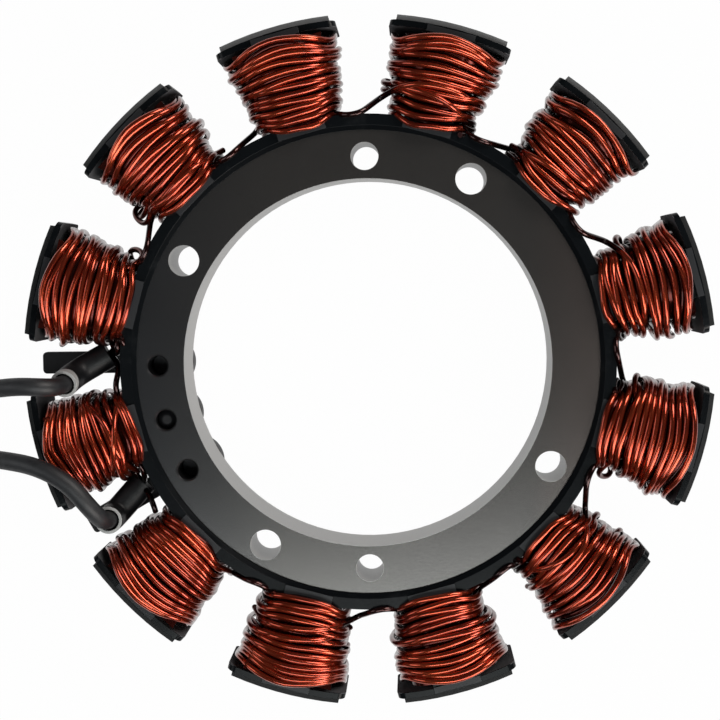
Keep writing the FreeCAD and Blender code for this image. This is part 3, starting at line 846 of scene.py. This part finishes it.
def join_meshes(name: str, parts: list[bpy.types.Object]) -> bpy.types.Object:
    """One object from several meshes.

    Args:
        name: the new object's name.
        parts: the objects, which are removed.

    Returns:
        The joined object, in which each mesh keeps its material.
    """
    form = bmesh.new()
    materials: list[bpy.types.Material] = []
    for slot, part in enumerate(parts):
        first = len(form.faces)
        form.from_mesh(part.data)
        form.faces.ensure_lookup_table()
        materials.append(part.data.materials[0])
        for face in form.faces[first:]:
            face.material_index = slot
        bpy.data.objects.remove(part)
    return new_piece(name, form, *materials)


# Windings


class Layer(Enum):
    """Which layer of a winding a turn belongs to."""

    OUTER = 0
    INNER = 1


@dataclass(frozen=True)
class Loop:
    """A slack turn that stands out from one side of a coil.

    The side is 1 on the anticlockwise side and -1 on the other.  The loop lies between two distances
    from the bore axis and reaches a distance from the pole's middle.
    """

    side: int
    inner: float
    outer: float
    reach: float
    height: float = 11.0
    root: float = 9.0
    tuck: float = 1.3
    pinch: float = 0.2
    corner: float = 0.3
    bulge: float = 0.5
    rises: tuple[float, ...] = (8.0, 6.5, 3.0, 0.0, -3.0, -5.5, -7.0)


@dataclass(frozen=True)
class Unevenness:
    """How far the turns stray from an even lay.

    A turn is narrower or wider by up to these amounts on each side, and where a draw passes the
    slack threshold it is wider by a further share of the looseness.
    """

    tight: float = 0.3
    loose: float = 1.1
    loose_inside: float = 0.3
    slack_above: float = 0.85
    slack_share: float = 0.8
    lift: float = 0.22
    sag: float = 0.5
    tilt: float = 0.45
    lean: float = 0.5
    crown: float = 0.08


@dataclass(frozen=True)
class Tangle:
    """The bunch of wires at a coil's root, where the wire comes in or leaves, darkened as painted shade.

    The side is 1 on the anticlockwise side, -1 on the other and 0 where there is none.  The bunch
    starts at a distance from the pole's middle, from the bore axis and above the rear steel face.
    """

    side: int = 0
    wires: int = 3
    points: int = 6
    start: Point = (9.6, 67.4, 20.6)
    bulge: float = 3.0
    pitch: float = 1.5
    fall: float = 2.6
    stagger: float = 0.5
    jitter: Range = (0.5, 0.9)


@dataclass
class Winding:
    """One coil of red enamelled wire round a pole.

    A pair of sizes is for the turn nearest the ring and for the one nearest the pole shoe.  The
    places are where the outer layer's turns cross the crown, out from the bore axis.  A stray wire
    runs askew over the front: each of its points is its distance to the anticlockwise side of the
    pole's middle, its distance out from the bore axis, and its lift over the outer layer.
    """

    number: int
    places: tuple[float, ...] = ()
    inner_turns: int = 11
    inner_ends: Range = (0.03, 0.97)
    sides: Range = (68.5, 89.4)
    crowns: Range = (66.7, 90.6)
    half_widths: Range = (10.3, 14.9)
    fronts: Range = (22.4, 25.7)
    rears: Range = (-4.6, -7.5)
    corners: Range = (8.3, 11.4)
    belly: float = 0.8
    nesting: float = 1.2
    slant: float = 0.0
    bow: float = 2.0
    bow_from: float = 0.4
    strays: tuple[Route, ...] = ()
    loops: tuple[Loop, ...] = ()
    tangle: Tangle = Tangle()
    core_inset: float = 1.2
    core_corner: float = 7.4
    core_ends: Range = (0.6, 0.4)
    corner_bends: Range = (20.0, 45.0)
    straight: float = 1.0
    shoulder: float = 0.3
    curve_steps: int = 2
    hidden_sides: int = 2
    crease: float = 60.0
    seed: int = 4100
    uneven: Unevenness = Unevenness()
    rng: random.Random = field(init=False)

    def __post_init__(self) -> None:
        """Seed this coil's own unevenness."""
        self.rng = random.Random(self.seed + self.number)

    def place(self, along: float, across: float, height: float) -> Vector:
        """A point of the pole's own frame in the part's metres.

        Args:
            along: distance out from the bore axis.
            across: distance to the anticlockwise side of the pole's middle.
            height: distance above the rear steel face.

        Returns:
            The point.
        """
        turn = math.radians(FIRST_POLE + POLE_STEP * self.number)
        x = along * math.cos(turn) - across * math.sin(turn)
        y = along * math.sin(turn) + across * math.cos(turn)
        return Vector((x, y, height)) * MM

    def jitter(self, spread: float) -> float:
        """A seeded amount either way."""
        return self.rng.uniform(-spread, spread)

    def shape(self, share: float, layer: Layer) -> tuple[float, float, float, float]:
        """The section of the coil at a share of the way out.

        Args:
            share: the place between the first turn and the last.
            layer: the layer that is asked for.

        Returns:
            Half width, front height, rear height and corner radius.
        """
        step = self.nesting if layer is Layer.INNER else 0.0
        belly = self.belly * math.sin(math.pi * clamped(share))
        return (between(self.half_widths, share) + belly - step, between(self.fronts, share) - step,
                between(self.rears, share) + step, between(self.corners, share) - step)

    def skin(self, across: float, along: float) -> float:
        """The height of the outer layer's wires at a point of the front.

        Args:
            across: distance to the anticlockwise side of the pole's middle.
            along: distance out from the bore axis.

        Returns:
            The height.
        """
        share = (along - self.crowns[0]) / (self.crowns[1] - self.crowns[0])
        half, top, _, corner = self.shape(clamped(share), Layer.OUTER)
        beyond = max(0.0, abs(across) - (half - corner))
        return top - corner + math.sqrt(max(0.0, corner * corner - beyond * beyond))

    def side_width(self, half: float, loose: float) -> float:
        """How far a turn stands from the pole's middle on one side.

        Args:
            half: the layer's own half width.
            loose: how much wider the turn may be.

        Returns:
            The distance, from two seeded draws.
        """
        width = half + self.rng.uniform(-self.uneven.tight, loose)
        return width + (self.rng.random() > self.uneven.slack_above) * loose * self.uneven.slack_share

    def turn_points(self, share: float, advance: float, layer: Layer) -> list[Vector]:
        """Control points of one turn.

        Args:
            share: the turn's place between the first and the last.
            advance: the pitch to the next turn.
            layer: the layer it lies in.

        Returns:
            Its points, from the anticlockwise side over the front and round the back.
        """
        half, top, bottom, r = self.shape(share, layer)
        side = between(self.sides, share)
        crown = between(self.crowns, share)
        loose = self.uneven.loose if layer is Layer.OUTER else self.uneven.loose_inside
        ccw = self.side_width(half, loose)
        cw = self.side_width(half, loose)
        lift = top + self.jitter(self.uneven.lift)
        drop = bottom + self.rng.uniform(0.0, self.uneven.sag)
        tilt = self.slant + self.jitter(self.uneven.tilt)
        lean = [self.jitter(self.uneven.lean) for _ in range(8)]
        steep, even = (math.radians(bend) for bend in self.corner_bends)
        wide, narrow, even = math.cos(steep) * r, math.sin(steep) * r, math.cos(even) * r
        bow = self.bow * max(0.0, share - self.bow_from) / (1.0 - self.bow_from)
        points = [
            (side + lean[0], ccw, MIDDLE),
            (side + lean[0], ccw, top - r - self.straight),
            (side + tilt * 0.9 + lean[1] * 0.5 - bow, ccw - r + wide, lift - r + narrow),
            (side + tilt + lean[1] - bow, ccw - r + even + self.shoulder,
             lift - r + even + self.shoulder),
            (crown + tilt + lean[2] * 0.5 - bow * 0.6, ccw - r + narrow, lift - r + wide + 0.1),
            (crown + tilt * 0.4, (half - r) * 0.5, lift + self.jitter(self.uneven.crown)),
            (crown - tilt * 0.4, (r - half) * 0.5, lift + self.jitter(self.uneven.crown)),
            (crown - tilt + lean[3] * 0.5 - bow * 0.6, -cw + r - narrow, lift - r + wide + 0.1),
            (side - tilt + lean[4] - bow, -cw + r - even - self.shoulder,
             lift - r + even + self.shoulder),
            (side - tilt * 0.9 + lean[4] * 0.5 - bow, -cw + r - wide, lift - r + narrow),
            (side + advance * 0.15 + lean[5], -cw, top - r - self.straight),
            (side + advance * 0.3 + lean[5], -cw, MIDDLE),
            (side + advance * 0.5, -cw + self.shoulder, bottom + r + self.straight),
            (side + advance * 0.5, -cw + r - wide, drop + r - narrow),
            (side + advance * 0.5, -cw + r - narrow, drop + r - wide),
            (side + advance * 0.5, 0.0, drop),
            (side + advance * 0.6, ccw - r + narrow, drop + r - wide),
            (side + advance * 0.7, ccw - r + wide, drop + r - narrow),
            (side + advance * 0.9, ccw, bottom + r + self.straight),
        ]
        return [self.place(*point) for point in points]

    def outer_run(self) -> list[Vector]:
        """Control points of the outer layer, wound as one wire through the coil's own places."""
        run: list[Vector] = []
        span = self.crowns[1] - self.crowns[0]
        for place, following in zip(self.places, (*self.places[1:], self.places[-1] + 1.0)):
            advance = (following - place) * (self.sides[1] - self.sides[0]) / span
            run.extend(self.turn_points((place - self.crowns[0]) / span, advance, Layer.OUTER))
        return run

    def inner_run(self) -> list[Vector]:
        """Control points of the layer below, evenly wound."""
        run: list[Vector] = []
        advance = (self.sides[1] - self.sides[0]) / self.inner_turns
        for turn in range(self.inner_turns):
            share = between(self.inner_ends, (turn + self.jitter(0.15)) / (self.inner_turns - 1))
            run.extend(self.turn_points(share, advance, Layer.INNER))
        return run

    def loop_run(self, loop: Loop) -> list[Vector]:
        """Control points of one slack loop.

        Args:
            loop: the loop.

        Returns:
            Its points, which start and end inside the coil.
        """
        root = loop.side * loop.root
        edge = loop.side * (loop.reach - loop.tuck)
        middle = (loop.inner + loop.outer) / 2
        flat = [
            (middle, root),
            (loop.inner + loop.pinch, (root + edge) / 2),
            (loop.inner, edge - loop.side * loop.corner),
            (middle, edge + loop.side * loop.bulge),
            (loop.outer, edge - loop.side * loop.corner),
            (loop.outer - loop.pinch, (root + edge) / 2),
            (middle, root),
        ]
        return [self.place(along, across, loop.height + rise)
                for (along, across), rise in zip(flat, loop.rises)]

    def tangle_run(self, order: int) -> list[Vector]:
        """Control points of one wire of the tangle.

        Args:
            order: its number in the bunch.

        Returns:
            Its points, from the front downwards.
        """
        bunch = self.tangle
        points = []
        for step in range(bunch.points):
            bulge = bunch.bulge * math.sin(math.pi * step / (bunch.points - 1))
            across = bunch.side * (bunch.start[0] + bulge + self.jitter(bunch.jitter[0]))
            along = bunch.start[1] + order * bunch.pitch + self.jitter(bunch.jitter[1])
            height = bunch.start[2] - step * bunch.fall - order * bunch.stagger
            points.append(self.place(along, across, height))
        return points

    def stray_run(self, stray: Route) -> list[Vector]:
        """Control points of one wire that runs askew over the front."""
        return [self.place(along, across, self.skin(across, along) + lift)
                for across, along, lift in stray]

    def core(self) -> bmesh.types.BMesh:
        """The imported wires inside, as one tapered block with rounded corners."""
        form = bmesh.new()
        bmesh.ops.create_cube(form, size=1.0)
        for vert in form.verts:
            end = int(vert.co.x > 0)
            half, top, bottom, _ = self.shape(float(end), Layer.INNER)
            across = math.copysign(half - self.core_inset, vert.co.y)
            height = top - self.core_inset if vert.co.z > 0 else bottom + self.core_inset
            vert.co = self.place(self.sides[end] + self.core_ends[end], across, height)
        outward = self.place(1.0, 0.0, 0.0).normalized()
        lengthwise = [edge for edge in form.edges
                      if abs((edge.verts[1].co - edge.verts[0].co).normalized().dot(outward)) > 0.7]
        bmesh.ops.bevel(form, geom=lengthwise, offset=self.core_corner * MM, segments=4, profile=0.5,
                        affect="EDGES", material=-1)
        bmesh.ops.recalc_face_normals(form, faces=form.faces)
        return form

    def build(self, palette: Palette) -> None:
        """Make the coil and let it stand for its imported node.

        Args:
            palette: the materials.
        """
        name = f"coil_{self.number + 1:02d}"
        parts = [
            wire_piece(f"{name}_outer", [self.outer_run()], palette.wire, self.curve_steps),
            wire_piece(f"{name}_inner", [self.inner_run()], palette.shaded_inner_wire, self.curve_steps,
                       self.hidden_sides),
            new_piece(f"{name}_block", self.core(), palette.shaded_inner_wire),
        ]
        loose = [self.stray_run(stray) for stray in self.strays]
        loose += [self.loop_run(loop) for loop in self.loops]
        if loose:
            parts.append(wire_piece(f"{name}_loose", loose, palette.wire))
        if self.tangle.side:
            tangle = [self.tangle_run(order) for order in range(self.tangle.wires)]
            parts.append(wire_piece(f"{name}_tangle", tangle, palette.shaded_wire))
        coil = join_meshes(f"{name}_wire", parts)
        smooth(coil, self.crease)
        settle(coil, "winding", name)


@dataclass
class WindingSet:
    """All twelve coils, each with the ways in which the photographed one differs."""

    windings: tuple[Winding, ...] = (
        Winding(0, (66.5, 68.7, 70.1, 72.1, 74.3, 78.6, 80.4, 82.9, 85.8, 88.5, 90.0), slant=0.2,
                tangle=Tangle(-1), loops=(Loop(1, 74.6, 77.0, 15.8),)),
        Winding(1, (66.2, 68.0, 70.6, 73.7, 75.5, 77.5, 79.3, 81.5, 84.0, 87.4, 90.3), tangle=Tangle(1),
                strays=(((13.4, 70.5, 0.0), (10.0, 71.0, 0.8), (6.0, 72.0, 1.1), (0.0, 73.0, 1.1),
                         (-6.0, 73.5, 1.0), (-10.5, 73.2, 0.3), (-12.0, 72.6, -1.2)),),
                loops=(Loop(-1, 76.0, 78.2, 14.4),)),
        Winding(2, (66.5, 68.9, 71.0, 73.4, 75.6, 78.8, 80.4, 82.4, 85.1, 87.6, 89.2, 90.6), slant=-0.3,
                tangle=Tangle(-1),
                strays=(((8.6, 75.2, -0.4), (5.0, 75.0, 0.6), (0.5, 74.8, 1.2), (-3.2, 73.8, 1.2),
                         (-7.6, 72.2, 0.9), (-11.0, 69.8, -0.2), (-12.2, 68.6, -2.0)),),
                loops=(Loop(1, 73.8, 75.2, 15.6), Loop(1, 75.6, 77.4, 16.0),
                       Loop(-1, 80.0, 82.2, 15.2))),
        Winding(3, (66.5, 68.7, 70.3, 72.1, 73.9, 75.7, 77.9, 79.7, 82.0, 84.5, 86.5, 88.1, 90.8),
                slant=0.2),
        Winding(4, (66.7, 68.5, 70.3, 72.1, 74.3, 76.1, 77.9, 80.0, 81.5, 83.8, 86.4, 89.2, 90.6),
                tangle=Tangle(-1),
                loops=(Loop(1, 70.7, 77.4, 17.4), Loop(1, 73.0, 75.4, 16.2), Loop(-1, 77.0, 79.2, 14.8),
                       Loop(-1, 68.4, 70.6, 13.6))),
        Winding(5, (67.4, 69.4, 71.0, 73.4, 74.8, 77.0, 79.1, 80.6, 82.9, 85.1, 87.2, 89.0, 90.6),
                tangle=Tangle(1), loops=(Loop(-1, 67.6, 73.2, 15.6), Loop(-1, 75.0, 77.0, 14.8))),
        Winding(6, (66.4, 68.0, 71.6, 74.0, 76.1, 78.2, 80.0, 82.2, 83.8, 85.1, 86.5, 89.2, 91.0),
                slant=-0.3, half_widths=(10.3, 12.4),
                strays=(((12.0, 70.4, -0.5), (9.0, 72.2, 0.9), (4.0, 72.9, 1.2), (-2.0, 73.1, 1.2),
                         (-5.0, 74.0, 1.2), (-8.4, 76.0, 0.9), (-11.8, 78.8, 0.0)),
                        ((10.4, 76.6, -0.4), (7.6, 74.6, 0.7), (3.4, 73.0, 2.3), (-0.4, 71.8, 1.2),
                         (-5.0, 70.6, 0.9), (-9.0, 69.2, -0.6)))),
        Winding(7, (67.4, 68.9, 71.0, 72.5, 73.7, 75.2, 76.8, 79.1, 81.1, 83.3, 85.6, 87.4, 89.2, 90.3),
                loops=(Loop(1, 69.0, 71.0, 15.2),)),
        Winding(8, (67.4, 69.4, 71.0, 73.0, 75.4, 78.0, 80.4, 82.4, 84.0, 85.8, 87.4, 89.2, 90.6),
                slant=-0.4, tangle=Tangle(-1),
                strays=(((13.6, 73.6, -0.6), (10.0, 75.4, 0.8), (5.9, 76.9, 1.2), (0.0, 78.1, 1.1),
                         (-5.0, 78.8, 1.0), (-10.2, 79.2, 0.5), (-14.0, 78.6, -1.4)),),
                loops=(Loop(1, 78.2, 80.4, 15.2), Loop(1, 71.0, 73.2, 14.6))),
        Winding(9, (66.9, 68.9, 70.7, 72.5, 74.1, 76.4, 77.9, 80.4, 82.4, 84.7, 86.7, 88.3, 89.7),
                slant=0.1, loops=(Loop(1, 68.0, 69.6, 14.6), Loop(-1, 78.0, 80.0, 15.0))),
        Winding(10, (67.1, 69.4, 71.2, 73.4, 75.6, 79.1, 81.8, 84.2, 86.5, 88.3, 91.0), slant=-0.3,
                tangle=Tangle(-1),
                strays=(((8.2, 75.6, -0.3), (4.0, 75.8, 0.8), (0.0, 75.6, 1.2), (-4.0, 74.6, 1.2),
                         (-9.2, 72.4, 0.8), (-11.6, 70.4, -0.4), (-12.6, 69.0, -2.2)),),
                loops=(Loop(1, 74.8, 77.0, 15.4), Loop(1, 82.4, 84.8, 16.6))),
        Winding(11, (66.5, 68.5, 70.3, 72.5, 74.8, 76.6, 78.2, 80.2, 82.0, 84.5, 86.5, 88.1, 90.8),
                slant=0.1, tangle=Tangle(1),
                loops=(Loop(1, 72.6, 74.6, 16.0), Loop(-1, 69.4, 74.2, 15.8))),
    )

    def build(self, palette: Palette) -> None:
        """Wind every pole."""
        for winding in self.windings:
            winding.build(palette)


@dataclass
class Crossovers:
    """The wires that run over the front rim from coil to coil, by the slot in degrees.

    Each runs from inside the coil before the slot, over the rim and onto the coil after it: over its
    front where the photograph shows so, and else tucked into its side.
    """

    slots: tuple[float, ...] = (0.0, 30.0, 60.0, 90.0, 120.0, 150.0, 240.0, 270.0, 300.0, 330.0)
    start: tuple[Point, ...] = ((68.6, -9.6, 16.5), (67.4, -11.6, 19.6))
    rim: tuple[Point, ...] = ((67.875, 3.6, 20.68), (68.475, 0.6, 20.78))
    rise: float = 0.3
    way: Range = (0.36, 0.72)
    curve_steps: int = 4
    unshaded_within: float = 11.5
    tucked: Route = ((12.6, 70.2, -4.2), (11.2, 71.2, -3.8), (9.6, 72.0, -4.0))
    over: dict[float, Route] = field(default_factory=lambda: {
        30.0: ((14.6, 72.2, 0.2), (11.4, 74.6, 0.9), (7.6, 76.4, 1.1), (1.4, 77.0, 0.6),
               (-4.0, 76.6, 0.6), (-9.4, 75.8, 0.6), (-12.6, 74.8, -1.0)),
        90.0: ((14.4, 71.8, 0.2), (10.8, 74.6, 0.9), (6.2, 76.7, 1.1), (-0.8, 77.4, 0.7),
               (-5.8, 77.2, 0.7), (-9.4, 76.4, 0.6), (-12.4, 75.2, -1.0)),
        150.0: ((13.6, 71.0, -0.4), (9.0, 71.2, 0.8), (3.0, 71.4, 1.0), (-3.0, 71.3, 1.0),
                (-8.6, 70.6, 0.9), (-12.6, 70.2, 0.2), (-14.2, 70.0, -2.0)),
        270.0: ((15.2, 69.6, 0.0), (10.5, 72.5, 0.9), (5.9, 74.0, 1.2), (0.0, 75.2, 1.2),
                (-7.6, 76.1, 0.9), (-11.6, 76.0, 0.4), (-14.0, 75.0, -1.4)),
        330.0: ((13.0, 71.8, 0.0), (10.0, 74.4, 0.9), (7.4, 76.6, 1.0), (3.6, 77.6, 0.9),
                (-1.0, 77.9, 0.8), (-7.6, 77.6, 0.8), (-11.6, 77.0, 0.2), (-13.8, 76.0, -1.6)),
    })

    def points(self, slot: float) -> list[Vector]:
        """One wire's control points.

        Args:
            slot: the slot that it crosses.

        Returns:
            Its points, from the coil before the slot to the coil after it.
        """
        number = round((slot - POLE_STEP / 2 - FIRST_POLE) / POLE_STEP) % POLE_COUNT
        before = Winding((number + 1) % POLE_COUNT)
        landing = Winding(number).stray_run(self.over.get(slot, self.tucked))
        root = [before.place(*point) for point in self.start]
        root += metres([polar(radius, slot + past, height) for radius, past, height in self.rim])
        gap = landing[0] - root[-1]
        lift = Vector((0.0, 0.0, self.rise * MM))
        return root + [root[-1] + gap * share + lift for share in self.way] + landing

    def build(self, palette: Palette) -> None:
        """Lay each wire, darkened as painted shade between the coils and in the plain wire colour over
        the front.

        Args:
            palette: the materials.
        """
        for order, slot in enumerate(self.slots, start=1):
            node = f"crossover_{order:02d}"
            piece = wire_piece(f"{node}_wire", [self.points(slot)], palette.shaded_wire,
                               self.curve_steps)
            piece.data.materials.append(palette.wire)
            # Painted shade: faces farther than this from the slot's middle take the shaded wire copy.
            beside = Vector(polar(1.0, slot - POLE_STEP / 2 + 90.0))
            for face in piece.data.polygons:
                face.material_index = int(face.center.dot(beside) < self.unshaded_within * MM)
            settle(piece, "winding", node)


@dataclass
class WindingEnds:
    """The wire ends that leave the coils beside each sleeve and go into its root, darkened as painted
    shade.
    """

    runs: tuple[tuple[tuple[Point, ...], ...], ...] = (
        (
            ((-70.6, 10.4, 13.0), (-72.0, 7.6, 15.6), (-70.4, 5.2, 14.6), (-71.4, 4.2, 12.2),
             (-73.6, 2.3, 11.0)),
            ((-67.6, 9.6, 16.4), (-69.6, 6.8, 19.4), (-68.6, 3.8, 18.4), (-70.2, 3.4, 14.6),
             (-72.0, 3.2, 11.8), (-73.8, 2.4, 11.2)),
            ((-68.8, 10.6, 18.6), (-67.2, 7.0, 20.4), (-67.0, 4.6, 18.0), (-68.8, 5.6, 14.4),
             (-70.8, 5.0, 12.0), (-73.2, 3.0, 10.8)),
            ((-69.2, -9.4, 15.8), (-70.4, -6.0, 18.4), (-69.2, -2.4, 17.2), (-69.8, 0.8, 13.6),
             (-72.0, 2.6, 11.4), (-73.4, 2.6, 11.0)),
        ),
        (
            ((-67.2, -26.6, 14.6), (-66.6, -29.4, 15.6), (-64.6, -31.2, 13.2), (-64.6, -33.8, 10.4)),
            ((-64.0, -26.8, 17.8), (-62.4, -29.6, 18.6), (-62.4, -31.8, 14.6), (-64.4, -33.9, 10.4)),
            ((-60.0, -41.0, 15.6), (-60.4, -38.0, 17.6), (-62.0, -35.6, 14.2), (-64.8, -34.2, 10.6)),
        ),
    )
    curve_steps: int = 5

    def build(self, palette: Palette) -> None:
        """Lay the ends at both sleeves.

        Args:
            palette: the materials.
        """
        for order, runs in enumerate(self.runs, start=1):
            piece = wire_piece(f"winding_ends_{order}", [metres(run) for run in runs],
                               palette.shaded_wire, self.curve_steps)
            settle(piece, "winding", f"winding_tail_{order}")


# Leads, steel and mouldings


@dataclass
class Lead:
    """One black lead: its route, its put-away coil and what is on it."""

    order: int
    exit: Point
    route: tuple[Point, ...]
    coil_centre: tuple[float, float]
    side: int
    length: float
    diameter: float = 5.0
    upper: float = 0.348
    lower: float = -4.802
    turn_radius: float = 25.0
    stub: float = 17.0
    turns: int = 2
    per_turn: int = 14
    fall_start: float = 12.5
    fall_steps: float = 3.0
    curve_steps: int = 8
    bevel_sides: int = 6
    bend_order: int = 3
    tie_edge: float = 0.25
    hard_edge: float = 0.15

    def points(self) -> list[Vector]:
        """The route's control points, then those of the coil's turns."""
        centre_x, centre_y = self.coil_centre
        run = list(self.route)
        steps = self.per_turn * self.turns
        reach = self.turn_radius / math.cos(math.pi / self.per_turn)
        for step in range(steps + 1):
            angle = 2 * math.pi * step / self.per_turn
            fall = clamped((step - self.fall_start) / self.fall_steps)
            radius = self.turn_radius if step in (0, steps) else reach
            run.append((centre_x - radius * math.sin(angle),
                        centre_y - self.side * radius * math.cos(angle),
                        between((self.upper, self.lower), fall)))
        run.append((centre_x - self.stub, centre_y - self.side * self.turn_radius, self.lower))
        return metres(run)

    def build(self, palette: Palette) -> None:
        """Args:
            palette: the materials.
        """
        name = f"lead_{self.order}"
        curve = round_curve(f"{name}_cord", [self.points()], self.diameter / 2, self.curve_steps,
                            self.bevel_sides, self.bend_order)
        curve.materials.append(palette.rubber)
        cord = link_object(f"{name}_cord", curve)
        settle(cord, "lead", name, f"lead_coil_{self.order}")
        tie = softened_copy(f"lead_tie_{self.order}", f"{name}_tie", palette.tie, "tie",
                            self.tie_edge)
        terminal = softened_copy(f"lead_terminal_{self.order}", f"{name}_terminal", palette.tinned,
                                 "terminal", self.hard_edge)
        softened_copy(f"lead_sleeve_{self.order}", f"sleeve_{self.order}", palette.sleeve, "sleeve",
                      self.hard_edge)


@dataclass
class LeadSet:
    """The two leads, each with its sleeve."""

    leads: tuple[Lead, ...] = (
        Lead(1, (-83.6, -4.5, 22.0),
             ((-83.42, -4.19, 19.03), (-83.88, -4.97, 26.57), (-87.6, -4.6, 30.8), (-94.5, -4.3, 30.6),
              (-103.0, -5.4, 26.6), (-111.0, -4.9, 17.6), (-118.2, -3.2, 7.4), (-126.6, -2.6, 0.348),
              (-135.0, -2.6, 0.348)),
             (-152.0, 22.4), 1, 0.42),
        Lead(2, (-72.3, -42.5, 21.0),
             ((-72.3, -42.5, 18.0), (-72.3, -42.5, 25.6), (-74.9, -37.9, 31.2), (-80.4, -30.6, 32.4),
              (-89.2, -26.0, 31.4), (-99.4, -24.6, 27.6), (-108.8, -25.0, 19.0), (-117.4, -26.3, 8.2),
              (-126.2, -26.8, 0.348), (-135.0, -26.8, 0.348)),
             (-152.0, -51.8), -1, 0.44),
    )

    def build(self, palette: Palette) -> None:
        """Lay both leads."""
        for lead in self.leads:
            lead.build(palette)


@dataclass
class Castings:
    """The steel, the mouldings, the bracket and its screws, with each bevel's width."""

    moulding_edge: float = 0.3
    screw_edge: float = 0.2

    def build(self, frame: dict, palette: Palette) -> None:
        """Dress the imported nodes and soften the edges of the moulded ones.

        Args:
            palette: the materials.
        """
        core = frame["nodes"]["core"].data
        core.materials.clear()
        core.materials.append(palette.steel)
        LOG.info("core dressed")
        for node in ("front_insulator", "rear_insulator"):
            softened_copy(node, f"{node}_moulding", palette.nylon, "insulator", self.moulding_edge)
        softened_copy("lead_bracket", "bracket_moulding", palette.bracket, "bracket", self.moulding_edge)
        for screw in (1, 2):
            softened_copy(f"bracket_screw_{screw}", f"button_screw_{screw}", palette.screw, "screw",
                          self.screw_edge)


def main() -> None:
    """Load the frame and build every piece on it."""
    logging.basicConfig(level=logging.INFO, format="%(message)s")
    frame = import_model()
    palette = Palette()
    Studio().build(palette)
    LeadSet().build(palette)
    Castings().build(frame, palette)
    WindingSet().build(palette)
    Crossovers().build(palette)
    WindingEnds().build(palette)


if __name__ == "__main__":
    main()
